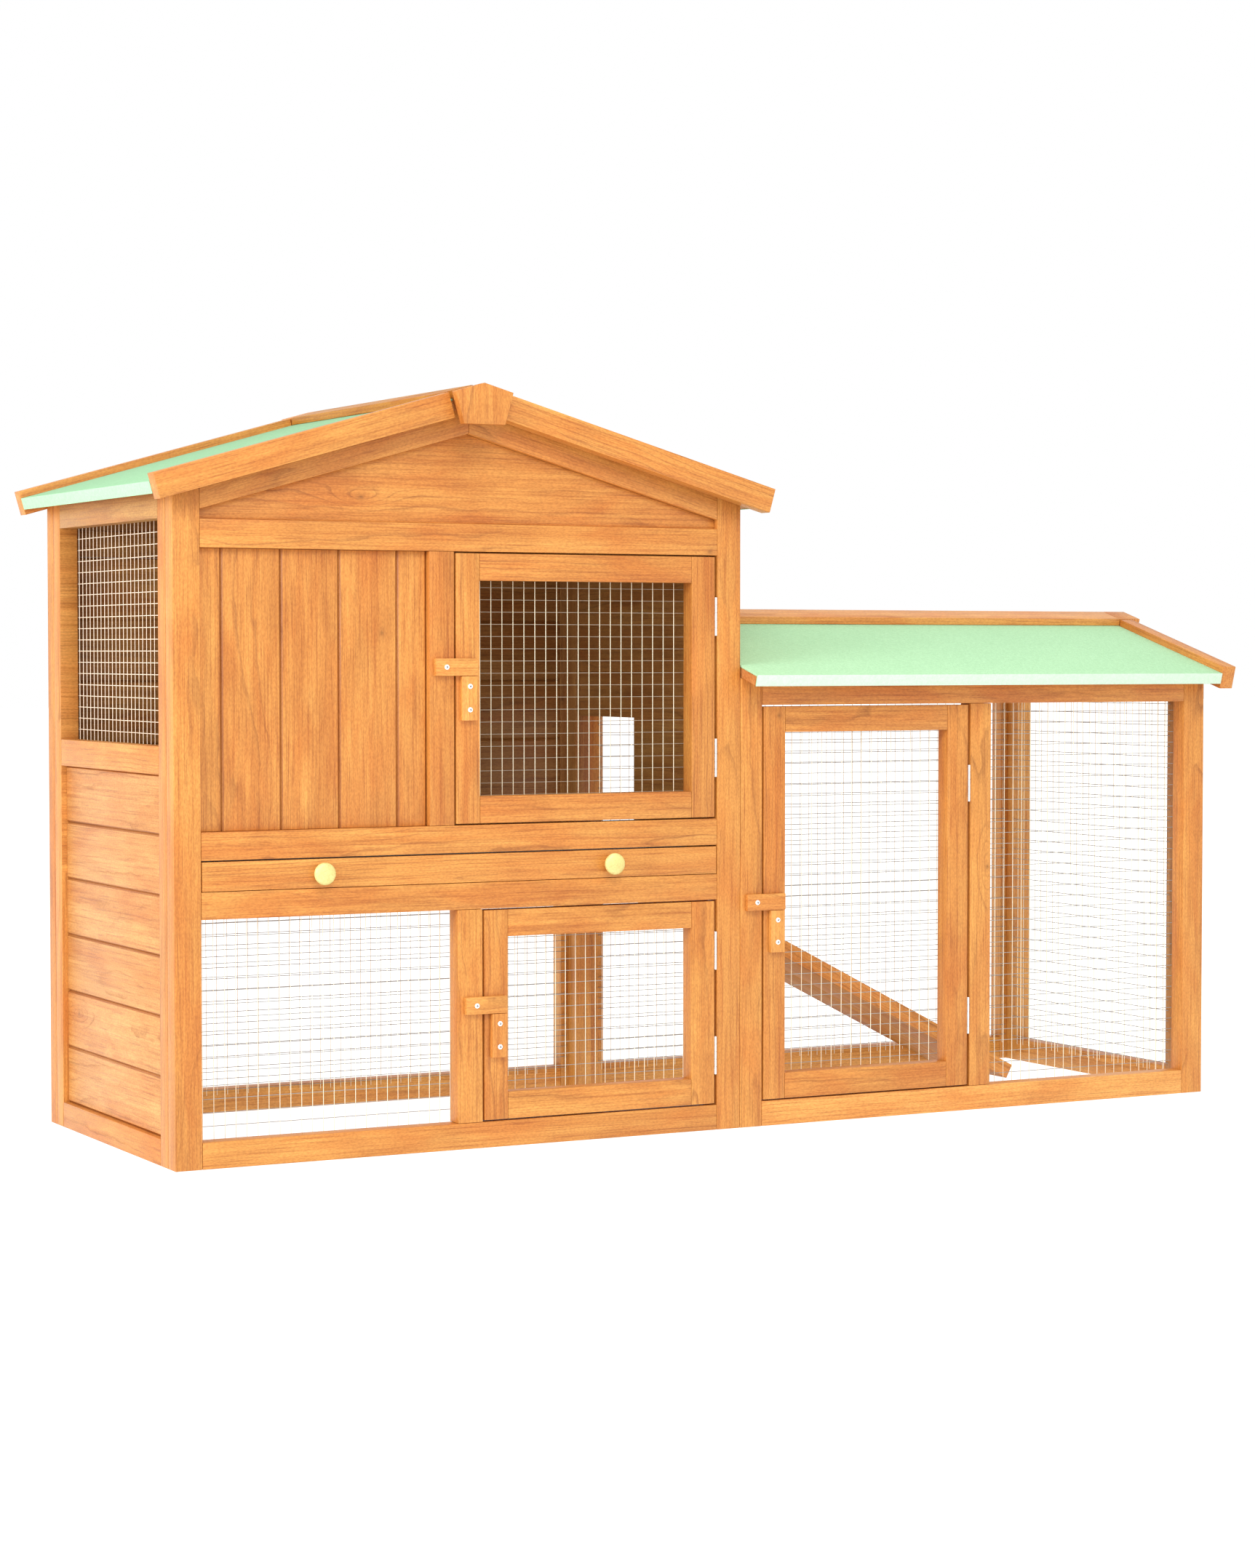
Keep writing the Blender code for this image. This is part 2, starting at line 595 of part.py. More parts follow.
def ramp_point(point):
    """Move (along, y, up) in the ramp's own directions to its place."""
    along, y, up = point
    if up < 0 and along == 0:
        along = RAMP_T * math.tan(RAMP_SLOPE)   # upright end against the wall
    x, z = on_ramp(along, up)
    return Vector((x, y, z))


cleat_pitch = ramp_length / (CLEAT_COUNT + 1)
lines = [0.0]
for i in range(1, CLEAT_COUNT + 1):
    lines += [i * cleat_pitch - CLEAT_W / 2, i * cleat_pitch + CLEAT_W / 2]
lines.append(ramp_length)
rows = [RAMP_Y[0], RAMP_Y[0] + CLEAT_INSET, RAMP_Y[1] - CLEAT_INSET, RAMP_Y[1]]
cells = []
for i in range(len(lines) - 1):
    for outline, top in grid_cells(lines[i:i + 2], rows, 0.0):
        on_cleat = i % 2 == 1 and outline[0][1] == rows[1]
        cells.append((outline, CLEAT_H if on_cleat else top))
relief("run_ramp", "Z", cells, -RAMP_T, bend=ramp_point)

# ------------------------------------------------------------- house roof
slab_y = (BARGE_INSET_Y + GAP, DEPTH - BARGE_INSET_Y - GAP)
slab = slope_piece(WALL_TOP, HOUSE_EAVE_X, MID_X - GAP, 0.0, SLAB_T, square_end=False)
prism("house_left_roof", "Y", slab, *slab_y, colour=FELT, roughness=0.9)
prism("house_right_roof", "Y", mirrored(slab, MID_X), *slab_y, colour=FELT, roughness=0.9)

BARGE_END_GAP = 0.0022
barge_high_u = MID_X - KEY_TOP_HALF - BARGE_END_GAP
barge = slope_piece(WALL_TOP, BARGE_TIP_X, barge_high_u, BARGE_LIFT, BARGE_H)
front_y = (BARGE_INSET_Y - BARGE_T, BARGE_INSET_Y)
prism("house_front_left_barge", "Y", barge, *front_y)
prism("house_front_right_barge", "Y", mirrored(barge, MID_X), *front_y)

# The front key is a plate, and a narrower core behind it reaches the roof.
key = key_outline(MID_X, house_under(MID_X))
key_centre = (MID_X, (key[0][1] + key[3][1]) / 2)
core = []
for u, v in key:
    away = Vector((u - key_centre[0], v - key_centre[1]))
    short = away.normalized() * (away.length - KEY_CORE_INSET)
    core.append((key_centre[0] + short.x, key_centre[1] + short.y))
key_front = front_y[0] - KEY_OUT
cells = [(core, BARGE_INSET_Y)]
for i in range(len(key)):
    j = (i + 1) % len(key)
    cells.append(([key[i], key[j], core[j], core[i]], key_front + KEY_PLATE_T))
relief("house_front_key", "Y", cells, key_front)


def barge_pair(name, axis, middle, wall_top, tip, inner, outward):
    """Both barge boards and their apex key as one piece, at a hidden end.

    inner is where they meet the roof slab, and outward is +1 or -1 along axis.
    """
    cos, sin = math.cos(PITCH), math.sin(PITCH)
    low = wall_top + BARGE_LIFT / cos
    high = low + BARGE_H / cos
    foot_u = tip + BARGE_H * sin
    foot_l, _, _, top, side_l = key_outline(middle, wall_top + SLOPE * middle)

    def on_key_side(base):
        """Where the line z = base + SLOPE * u meets the key's left side."""
        run, rise = side_l[0] - foot_l[0], side_l[1] - foot_l[1]
        t = (base + SLOPE * foot_l[0] - foot_l[1]) / (rise - SLOPE * run)
        return (foot_l[0] + t * run, foot_l[1] + t * rise)

    cut_low, cut_high = on_key_side(low), on_key_side(high)
    left = [(foot_u, low + SLOPE * foot_u), cut_low, cut_high, (tip, high + SLOPE * tip)]
    right = mirrored(left, middle)[::-1]
    key_left = [foot_l, cut_low, cut_high, side_l]
    key_right = mirrored(key_left, middle)
    key = key_right + [top] + key_left[::-1]
    barge_front = inner + outward * BARGE_T
    key_front = barge_front + outward * KEY_OUT
    relief(name, axis, [(left, barge_front), (right, barge_front), (key, key_front)], inner)


barge_pair("house_back_barge", "Y", MID_X, WALL_TOP, BARGE_TIP_X, DEPTH - BARGE_INSET_Y, 1)
ridge_cap("house_ridge_cap", "Y", MID_X, house_under(MID_X), slab_y[0], slab_y[1])

# --------------------------------------------------------------- run roof
slab_x = (HOUSE_W + 0.0015, TOTAL_W - GAP)
slab = slope_piece(RUN_WALL_TOP, RUN_EAVE_Y, MID_Y - GAP, 0.0, SLAB_T, square_end=False)
prism("run_front_roof", "X", slab, *slab_x, colour=FELT, roughness=0.9)
prism("run_back_roof", "X", mirrored(slab, MID_Y), *slab_x, colour=FELT, roughness=0.9)
barge_pair("run_barge", "X", MID_Y, RUN_WALL_TOP, RUN_BARGE_TIP_Y, TOTAL_W, 1)
ridge_cap("run_ridge_cap", "X", MID_Y, run_under(MID_Y), slab_x[0], slab_x[1])
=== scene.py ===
"""Looks of the rabbit hutch: boards with grain, welded wire, felt, screws."""

import json
import math
import random

import bmesh
import bpy
import numpy as np
from mathutils import Matrix, Vector

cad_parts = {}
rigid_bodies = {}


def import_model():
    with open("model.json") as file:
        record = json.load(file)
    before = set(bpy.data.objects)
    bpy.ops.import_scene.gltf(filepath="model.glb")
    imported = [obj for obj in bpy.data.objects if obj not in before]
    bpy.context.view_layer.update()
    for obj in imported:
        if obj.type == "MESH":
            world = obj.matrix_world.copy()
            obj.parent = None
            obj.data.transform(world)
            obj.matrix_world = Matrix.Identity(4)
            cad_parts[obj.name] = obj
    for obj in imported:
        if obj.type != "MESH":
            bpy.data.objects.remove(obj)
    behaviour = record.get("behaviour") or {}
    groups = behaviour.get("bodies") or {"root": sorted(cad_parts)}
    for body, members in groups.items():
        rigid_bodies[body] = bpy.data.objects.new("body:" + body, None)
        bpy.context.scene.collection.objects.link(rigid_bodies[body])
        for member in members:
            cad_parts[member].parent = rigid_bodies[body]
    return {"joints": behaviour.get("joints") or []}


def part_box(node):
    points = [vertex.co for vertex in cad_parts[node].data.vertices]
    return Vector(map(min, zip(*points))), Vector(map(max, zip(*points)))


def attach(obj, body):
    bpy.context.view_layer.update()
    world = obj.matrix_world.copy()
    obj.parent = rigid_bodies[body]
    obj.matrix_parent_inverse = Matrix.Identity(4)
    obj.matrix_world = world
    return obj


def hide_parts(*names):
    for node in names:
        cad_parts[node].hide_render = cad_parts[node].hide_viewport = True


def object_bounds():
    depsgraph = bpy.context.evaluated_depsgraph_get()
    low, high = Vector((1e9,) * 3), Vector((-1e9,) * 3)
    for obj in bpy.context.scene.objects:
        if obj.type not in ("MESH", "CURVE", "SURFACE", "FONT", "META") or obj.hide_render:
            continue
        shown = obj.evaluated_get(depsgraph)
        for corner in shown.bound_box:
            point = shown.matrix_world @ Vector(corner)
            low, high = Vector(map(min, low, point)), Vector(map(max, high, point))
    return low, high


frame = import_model()
CAD_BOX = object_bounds()
HOME = Vector(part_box("house_front_left_post")[0])   # hutch (0, 0, 0)

# ---------- dimensions
# Hutch coordinates, as in the CAD: x right from the house's left face,
# y back from the front face, z up from the ground. Metres.
HOUSE_W, TOTAL_W, DEPTH = 0.750, 1.476, 0.458
GAP = 0.0003
FRAME_T, SIDE_T = 0.024, 0.023
POST_W, RAIL_H, STILE_W, BASE_H = 0.033, 0.033, 0.026, 0.0315
LOWER_RAIL_Z, TRAY_Z, DECK_Z, GABLE_Z = 0.290, 0.322, 0.3585, 0.720
ROOM_Z = DECK_Z + RAIL_H
WALL_TOP, RUN_RAIL_Z, RUN_WALL_TOP = 0.7874, 0.533, 0.5672
SIDE_MID_Z = 0.457
MULLION_W, UPPER_MULLION_X, LOWER_MULLION_X = 0.0325, 0.3226, 0.3595
RUN_POST_W, RUN_MULLION_X = 0.032, 1.0967
DOORWAY_Y, DOORWAY_Z = 0.252, 0.513
RIGHT_POST_X, RUN_RIGHT_X = HOUSE_W - POST_W, TOTAL_W - POST_W
RUN_OPEN_X = HOUSE_W + RUN_POST_W
BACK_Y = DEPTH - FRAME_T
MID_X, MID_Y = HOUSE_W / 2, DEPTH / 2
SLOPE = 0.2824
PITCH = math.atan(SLOPE)
COS, SIN = math.cos(PITCH), math.sin(PITCH)
SLAB_T, HOUSE_EAVE_X, RUN_EAVE_Y = 0.0147, -0.031, -0.0407
BARGE_T, BARGE_H, BARGE_RISE, BARGE_Y = 0.0206, 0.0307, 0.0091, -0.0097
BARGE_TIP_X, RUN_BARGE_TIP_Y = -0.0332, -0.0426
KEY_OUT, KEY_TOP, KEY_LOW, KEY_H = 0.0148, 0.0379, 0.0269, 0.0384
KEY_PLATE, CORE_LOW, CORE_TOP = 0.0118, 0.018, 0.028
BARGE_STOP = 0.0022                  # a barge board's end, short of the key
CAP_HALF, CAP_T = 0.0379, 0.0092
FELT_T = 0.0026
DECK_IN, FELT_IN = 0.0006, 0.0004    # of a roof board and its felt, short of the CAD's ends
RAFTER_H = 0.0313
RAFTER_FOOT = WALL_TOP - RAFTER_H / COS
DOOR_T, DOOR_RAIL = 0.022, 0.0325
GAP_FREE, GAP_HINGE, GAP_V = 0.0024, 0.0038, 0.0020   # air round a door
MESH_LAP = 0.008                     # of a mesh panel behind its frame
WIRE_PITCH = 0.0145
WIRE_R, LEVEL_R, SIDE_R = 0.00041, 0.00042, 0.00046
CHAMFER = 0.0023
SIDE_Y0, SIDE_Y1 = FRAME_T + STILE_W, BACK_Y - STILE_W
PANEL_Y = (0.008, 0.018)             # front and back of boards set in a frame
SEAM, HAIR = 0.00004, 0.0002         # between planks, and at a door's joints
PLAY = 0.0001                        # between a felt or a cap and what it meets
KNUCKLES, SLIM = 5, 0.68             # of a hinge; their share of the CAD barrel's radius
LEAF_T, LEAF_D = 0.0006, 0.0195      # a hinge leaf's thickness and depth
LEAF_OFF = 0.0005                    # from the pin's middle to the leaf's near face
EASE = 0.0002                        # play between knuckles, and the round of their rims
SCREW_R, SCREW_RIM, SCREW_RISE = 0.0031, 0.0004, 0.0011
SLOT_LONG, SLOT_WIDE, SLOT_DEPTHS = 0.52, 0.13, (0.0007, 0.003)   # of the cross
SLAT_X, WALL_X = (0.007, 0.017), (0.006, 0.016)   # boards, from their wall's first face
BACK_IN, BACK_PLANK_T, BACK_GABLE_T = 0.002, 0.010, 0.014
RAMP_SLOPE, RAMP_T, RAMP_TOP = math.atan(0.5155), 0.0204, 0.3180
RAMP_JOINT = (0.0912, 0.0918)        # between the ramp's boards, from their front edge
CLEATS, CLEAT_W, CLEAT_H, CLEAT_IN = 7, 0.012, 0.006, 0.036

X, Y, Z = Vector((1, 0, 0)), Vector((0, 1, 0)), Vector((0, 0, 1))
UP_LEFT = Vector((COS, 0, SIN))       # up the house's left slope
UP_RIGHT = Vector((COS, 0, -SIN))
UP_FRONT = Vector((0, COS, SIN))      # up the run's front slope
UP_BACK = Vector((0, COS, -SIN))
rng = random.Random(7)


# ---------- materials
class Nodes:
    """Small helper that adds nodes to one material."""

    def __init__(self, name):
        self.material = bpy.data.materials.new(name)
        self.material.use_nodes = True
        self.tree = self.material.node_tree
        self.shader = self.tree.nodes["Principled BSDF"]

    def add(self, kind, **values):
        node = self.tree.nodes.new(kind)
        for key, value in values.items():
            setattr(node, key, value)
        return node

    def link(self, a, b):
        self.tree.links.new(a, b)

    def set(self, node, socket, value):
        if isinstance(value, bpy.types.NodeSocket):
            self.link(value, node.inputs[socket])
        else:
            node.inputs[socket].default_value = value

    def put(self, node, **sockets):
        for socket, value in sockets.items():
            self.set(node, socket, value)

    def math(self, operation, a, b=0.0):
        node = self.add("ShaderNodeMath", operation=operation)
        self.set(node, 0, a)
        self.set(node, 1, b)
        return node.outputs[0]

    def times(self, a, b):
        return self.math("MULTIPLY", a, b)

    def plus(self, a, b):
        return self.math("ADD", a, b)

    def look(self, socket, value):
        """Sets or links an input of the material's shader."""
        self.set(self.shader, socket, value)

    def noise(self, vector, scale, detail=3.0, rough=0.5, distortion=0.0):
        node = self.add("ShaderNodeTexNoise")
        self.put(node, Vector=vector, Scale=scale, Detail=detail, Roughness=rough,
                 Distortion=distortion)
        return node.outputs["Fac"]

    def stretch(self, vector, scale):
        node = self.add("ShaderNodeMapping")
        self.put(node, Vector=vector, Scale=scale)
        return node.outputs["Vector"]

    def ramp(self, value, stops):
        node = self.add("ShaderNodeValToRGB")
        elements = node.color_ramp.elements
        while len(elements) < len(stops):
            elements.new(0.5)
        for element, (at, colour) in zip(elements, stops):
            element.position = at
            if isinstance(colour, (int, float)):
                colour = (colour, colour, colour)
            element.color = (*colour, 1.0)
        self.set(node, "Fac", value)
        return node.outputs["Color"]

    def mix(self, factor, a, b, blend="MIX"):
        node = self.add("ShaderNodeMix", data_type="RGBA", blend_type=blend)
        self.set(node, "Factor", factor)
        for index, value in ((6, a), (7, b)):      # the colour sockets A and B
            is_socket = isinstance(value, bpy.types.NodeSocket)
            self.set(node, index, value if is_socket else (*value, 1.0))
        return node.outputs[2]

    def bump(self, height, strength, distance):
        node = self.add("ShaderNodeBump")
        self.put(node, Height=height, Strength=strength, Distance=distance)
        self.look("Normal", node.outputs["Normal"])

    def length(self, vector):
        node = self.add("ShaderNodeVectorMath", operation="LENGTH")
        self.link(vector, node.inputs[0])
        return node.outputs["Value"]

    def red(self, colour):
        node = self.add("ShaderNodeSeparateColor")
        self.link(colour, node.inputs[0])
        return node.outputs[0]

    def cells(self, vector, scale, **kind):
        node = self.add("ShaderNodeTexVoronoi", feature="F1", **kind)
        self.put(node, Vector=vector, Scale=scale)
        return node


# What multiplies a wood's colour: features per metre along and across the
# grain, detail, roughness, distortion, strength (None: always whole), colours.
WOOD_TINTS = (
    ("threads", 6.0, 330.0, 2.0, 0.5, 0.0, 0.9,
     [(0.32, (0.82, 0.73, 0.66)), (0.43, (0.97, 0.95, 0.93)), (0.66, (1.03, 1.05, 1.06))]),
    ("fibre", 16.0, 640.0, 2.0, 0.55, 0.0, 0.9,
     [(0.30, (0.74, 0.65, 0.58)), (0.43, (0.97, 0.95, 0.94)), (0.68, (1.04, 1.06, 1.07))]),
    ("pores", 14.0, 1000.0, 2.0, 0.5, 0.0, 0.6,
     [(0.30, (0.80, 0.73, 0.66)), (0.40, (1.0, 1.0, 1.0))]),
    ("curl", 8.0, 18.0, 2.0, 0.5, 0.8, None,
     [(0.37, (0.93, 0.91, 0.89)), (0.58, (1.03, 1.05, 1.08))]),
    ("blush", 6.5, 24.0, 3.0, 0.55, 0.6, 1.0,
     [(0.35, (0.95, 0.83, 0.73)), (0.56, (1.02, 1.05, 1.08))]),
    ("specks", 260.0, 620.0, 2.0, 0.5, 0.0, 0.9,
     [(0.34, (0.86, 0.80, 0.76)), (0.62, (1.06, 1.08, 1.09))]),
    ("board", 0.5, 3.0, 1.0, 0.5, 0.0, None,
     [(0.34, (0.91, 0.85, 0.80)), (0.64, (1.03, 1.05, 1.06))]),
)
KNOTS_ALONG, KNOTS_ACROSS = 3.4, 15.0   # knot cells per metre
KNOT_REACH, KNOT_PUSH = 0.011, 0.010    # how far a knot bends the rings, and by how much
KNOT_RAGGED = 0.0022                    # unevenness of a knot's rim
PITH_WANDER, PITH_TILT = 0.045, 0.010   # sideways, and per metre of board
RINGS_PER_M, RING_WAVE = 240.0, 3.2


def wood_material(name, pale, mid, dark, roughness=0.45, knots=0.16, contrast=1.0,
                  gloss=0.45, turned=False):
    """Stained softwood. The grain attribute holds (along, across, through).

    With turned, the grain runs through the board instead, as on a cut side.
    """
    n = Nodes(name)
    grain = n.add("ShaderNodeAttribute", attribute_name="grain").outputs["Vector"]
    if turned:
        swapped = n.add("ShaderNodeCombineXYZ")
        given = n.add("ShaderNodeSeparateXYZ")
        n.set(given, "Vector", grain)
        for source, target in ((2, 0), (1, 1), (0, 2)):
            n.link(given.outputs[source], swapped.inputs[target])
        grain = swapped.outputs["Vector"]
    parts = n.add("ShaderNodeSeparateXYZ")
    n.set(parts, "Vector", grain)
    along, across, through = parts.outputs

    # Knots run right through a board, so they are cells of a flat pattern.
    flat = n.stretch(grain, (KNOTS_ALONG, KNOTS_ACROSS, 0.0))
    cell = n.cells(flat, 1.0, voronoi_dimensions="2D")
    n.set(cell, "Randomness", 0.85)
    offset = n.add("ShaderNodeVectorMath", operation="SUBTRACT")
    n.link(flat, offset.inputs[0])
    n.link(cell.outputs["Position"], offset.inputs[1])
    away = n.stretch(offset.outputs["Vector"], (1 / KNOTS_ALONG, 1 / KNOTS_ACROSS, 0.0))
    ragged = n.times(n.noise(grain, 260.0, 2.0, 0.6), KNOT_RAGGED)
    distance = n.plus(n.length(n.stretch(away, (0.75, 1.0, 0.0))), ragged)
    there = n.math("LESS_THAN", n.red(cell.outputs["Color"]), knots)
    near = n.math("DIVIDE", n.length(n.stretch(away, (0.30, 1.0, 0.0))), KNOT_REACH)
    swell = n.math("EXPONENT", n.times(n.times(near, near), -1.0))
    swell = n.times(swell, there)

    # Growth rings round a pith that wanders, pushed apart by the knots.
    drift = n.noise(n.stretch(grain, (1.1, 0.0, 0.0)), 1.0, 1.0, 0.4)
    wave = n.noise(n.stretch(grain, (5.0, 16.0, 16.0)), 1.0, 3.0, 0.55)
    a = n.plus(across, n.times(drift, PITH_WANDER))
    b = n.plus(through, n.times(along, PITH_TILT))
    radius = n.math("SQRT", n.plus(n.times(a, a), n.times(b, b)))
    radius = n.plus(radius, n.times(swell, KNOT_PUSH))
    rings = n.plus(n.times(radius, RINGS_PER_M), n.times(wave, RING_WAVE))
    late = n.ramp(n.math("FRACT", rings),
                  [(0.0, 0.0), (0.74, 0.0), (0.90, 0.8), (0.94, 1.0), (1.0, 0.0)])
    fade = n.noise(n.stretch(grain, (2.6, 40.0, 40.0)), 1.0, 2.0, 0.5)
    late = n.times(late, n.ramp(fade, [(0.42, 0.04), (0.66, 1.0)]))

    # Soft streaks between the two pale tones, then the tints.
    streak = n.noise(n.stretch(grain, (1.8, 70.0, 70.0)), 1.0, 3.0, 0.55)
    base = n.mix(n.ramp(streak, [(0.34, 0.0), (0.68, 1.0)]), pale, mid)
    colour = n.mix(n.times(late, 0.62 * contrast), base, dark)
    fields = {}
    for tint, long, wide, detail, rough, distortion, strength, stops in WOOD_TINTS:
        fields[tint] = n.noise(n.stretch(grain, (long, wide, wide)), 1.0, detail, rough,
                               distortion)
        share = 1.0 if strength is None else strength * contrast
        colour = n.mix(share, colour, n.ramp(fields[tint], stops), "MULTIPLY")

    # Each knot: a dark heart in a stained halo.
    halo = n.ramp(distance, [(0.0024, 1.0), (0.0085, 0.0)])
    halo = n.times(halo, n.times(there, 0.42))
    colour = n.mix(halo, colour, dark)
    heart = n.ramp(distance, [(0.0018, 1.0), (0.0034, 0.0)])
    heart = n.times(heart, n.times(there, 0.75))
    colour = n.mix(heart, colour, tuple(c * 0.40 for c in dark))
    n.look("Base Color", colour)
    fibre = fields["fibre"]
    wear = n.plus(n.times(late, 0.35), n.times(fibre, 0.65))
    n.look("Roughness", n.ramp(wear, [(0.15, roughness - 0.07), (0.85, roughness + 0.13)]))
    n.look("Specular IOR Level", gloss)
    height = n.plus(n.times(fibre, 0.7), n.times(late, 0.4))
    height = n.math("SUBTRACT", height, n.times(heart, 0.8))
    n.bump(height, 0.30, 0.0007)
    return n.material


def felt_material(name, light, mid, dark):
    """Mineral roofing felt: crushed granules pressed into green bitumen."""
    n = Nodes(name)
    spot = n.add("ShaderNodeTexCoord").outputs["Object"]
    granules = n.cells(spot, 560.0)
    speck = n.red(granules.outputs["Color"])
    clumps = n.noise(spot, 240.0, 3.0, 0.6)
    patches = n.noise(spot, 6.0, 3.0, 0.55)
    colour = n.mix(n.ramp(speck, [(0.10, 0.0), (0.90, 1.0)]), mid, light)
    colour = n.mix(n.ramp(clumps, [(0.40, 0.35), (0.55, 0.0)]), colour, dark)
    tone = n.ramp(patches, [(0.3, (0.97, 0.975, 0.97)), (0.7, (1.02, 1.015, 1.02))])
    n.look("Base Color", n.mix(1.0, colour, tone, "MULTIPLY"))
    n.look("Roughness", n.ramp(clumps, [(0.2, 0.80), (0.8, 0.97)]))
    n.look("Specular IOR Level", 0.2)
    height = n.plus(n.times(granules.outputs["Distance"], -1.0), n.times(clumps, 0.5))
    n.bump(height, 0.45, 0.0006)
    return n.material


def metal_material(name, colour, dull, roughness, metallic):
    """Zinc-coated steel with a faint spangle and duller patches."""
    n = Nodes(name)
    spot = n.add("ShaderNodeTexCoord").outputs["Object"]
    tone = n.red(n.cells(spot, 160.0).outputs["Color"])
    cloud = n.noise(spot, 60.0, 3.0, 0.6)
    mixed = n.mix(n.ramp(tone, [(0.2, 0.0), (0.9, 0.55)]), colour, dull)
    mixed = n.mix(n.ramp(cloud, [(0.45, 0.0), (0.75, 0.5)]), mixed, dull)
    n.look("Base Color", mixed)
    n.look("Roughness", n.ramp(cloud, [(0.3, roughness - 0.08), (0.7, roughness + 0.1)]))
    n.look("Metallic", metallic)
    n.bump(cloud, 0.15, 0.0003)
    return n.material


HONEY = wood_material("honey_wood", (0.69, 0.298, 0.061), (0.60, 0.226, 0.040),
                      (0.34, 0.118, 0.021))
STAIN = wood_material("gathered_stain", (0.50, 0.195, 0.045), (0.42, 0.152, 0.033),
                      (0.25, 0.082, 0.016))
# Darker copies of the wood for faces inside the house: painted shade.
INNER_SHADE = wood_material("inner_wood_painted_shade", (0.47, 0.222, 0.058), (0.385, 0.174, 0.042),
                      (0.21, 0.090, 0.019))
BACK_INNER_SHADE = wood_material("inner_wood_back_painted_shade", (0.44, 0.205, 0.053), (0.36, 0.160, 0.038),
                           (0.20, 0.082, 0.017))
# A paler, yellower copy of the wood for inward faces at the back: painted light in their shade.
SHADED = wood_material("shaded_wood", (0.74, 0.370, 0.085), (0.64, 0.300, 0.064),
                       (0.39, 0.155, 0.030))
# A paler, cooler copy of the wood for the left slats: painted sheen of the light from the left.
SLAT_SHEEN = wood_material("side_wood_painted_sheen", (0.70, 0.335, 0.095), (0.61, 0.260, 0.065),
                     (0.35, 0.137, 0.033))
# A darker, less saturated copy of the wood for the left wall's top rail: painted shadow of the
# eave.
EAVE_SHADOW = wood_material("eave_shadow_wood", (0.56, 0.285, 0.070), (0.47, 0.215, 0.050),
                     (0.27, 0.115, 0.025))
# A darker copy of the wood for the house's ridge cap: painted shade.
RIDGE_SHADE = wood_material("ridge_shade_wood", (0.62, 0.290, 0.045), (0.53, 0.215, 0.030),
                      (0.30, 0.110, 0.016), gloss=0.15)
# A lighter copy of the wood for the run's front base rail and ridge cap: painted light.
LIT_WOOD = wood_material("lit_wood", (0.80, 0.365, 0.085), (0.71, 0.295, 0.062),
                       (0.42, 0.155, 0.030))
CROSS = wood_material("cut_side_wood", (0.73, 0.325, 0.070), (0.59, 0.235, 0.045),
                      (0.31, 0.112, 0.021), knots=0.0, turned=True)
# A darker, duller copy of the wood for the ramp's underside: painted shade.
UNDER_SHADE = wood_material("ramp_underside_shade", (0.44, 0.186, 0.038), (0.37, 0.143, 0.028),
                      (0.20, 0.074, 0.014), 0.6, gloss=0.12)
# A lighter copy of the wood, for the turn buttons and catch blocks.
LIGHTER_WOOD = wood_material("button_wood", (0.76, 0.345, 0.076), (0.67, 0.275, 0.053),
                      (0.42, 0.155, 0.029))
PALE = wood_material("pale_wood", (0.84, 0.80, 0.33), (0.80, 0.74, 0.27), (0.66, 0.54, 0.17),
                     0.36, 0.0, 0.45)
PLY = wood_material("roof_board", (0.66, 0.30, 0.09), (0.58, 0.235, 0.065), (0.38, 0.14, 0.035))
FELT = felt_material("green_felt", (0.465, 0.735, 0.445), (0.415, 0.675, 0.395),
                     (0.345, 0.585, 0.330))
# A darker copy of the felt for the house's roof: painted shade.
HOUSE_FELT_SHADE = felt_material("green_felt_house_shaded", (0.325, 0.560, 0.320), (0.290, 0.515, 0.285),
                           (0.240, 0.440, 0.235))
# A lighter copy of the felt for the run's eave lips: painted light.
FELT_EDGE_LIT = felt_material("green_felt_edge_lit", (0.64, 0.79, 0.63), (0.595, 0.755, 0.585),
                          (0.52, 0.69, 0.51))
WIRE = metal_material("galvanised_wire", (0.97, 0.89, 0.66), (0.93, 0.84, 0.61), 0.45, 0.0)
SIDE_WIRE = metal_material("galvanised_wire_side", (0.99, 0.81, 0.60), (0.96, 0.77, 0.56),
                           0.40, 0.0)
# Darker copies of the wire for the level wires: painted shade.
WIRE_SHADE = metal_material("galvanised_wire_shade", (0.32, 0.250, 0.180), (0.24, 0.185, 0.13), 0.6, 0.0)
WIRE_SHADE_GREY = metal_material("galvanised_wire_shade_grey", (0.36, 0.345, 0.315), (0.29, 0.28, 0.255), 0.6, 0.0)
ZINC = metal_material("zinc_plate", (0.97, 0.97, 0.96), (0.91, 0.91, 0.91), 0.32, 0.1)
# The tray's sheet is darkened so that the gap above the tray reads dark: painted shade.
SHEET = metal_material("tray_sheet", (0.34, 0.32, 0.29), (0.26, 0.24, 0.22), 0.40, 0.6)
DARK = metal_material("recess_shadow", (0.25, 0.24, 0.22), (0.18, 0.17, 0.16), 0.6, 0.2)


# ---------- builders
def place(axis, u, v, depth):
    if axis == "X":
        return Vector((depth, u, v))
    if axis == "Y":
        return Vector((u, depth, v))
    return Vector((u, v, depth))


def corners(node):
    """The lowest and highest corner of a CAD node, in hutch coordinates."""
    return (Vector(c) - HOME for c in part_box(node))


def spans(node):
    low, high = corners(node)
    return (low.x, high.x), (low.y, high.y), (low.z, high.z)


def pin(body):
    """Where the joint that moves a body turns."""
    joint = next(j for j in frame["joints"] if j["child"] == body)
    return Vector(joint["pos_m"]) - HOME


def push(builder, outline, way):
    """Closes an outline and pushes it along way into a solid."""
    face = builder.faces.new([builder.verts.new(corner) for corner in outline])
    grown = bmesh.ops.extrude_face_region(builder, geom=[face])
    moved = [g for g in grown["geom"] if isinstance(g, bmesh.types.BMVert)]
    bmesh.ops.translate(builder, verts=moved, vec=way)


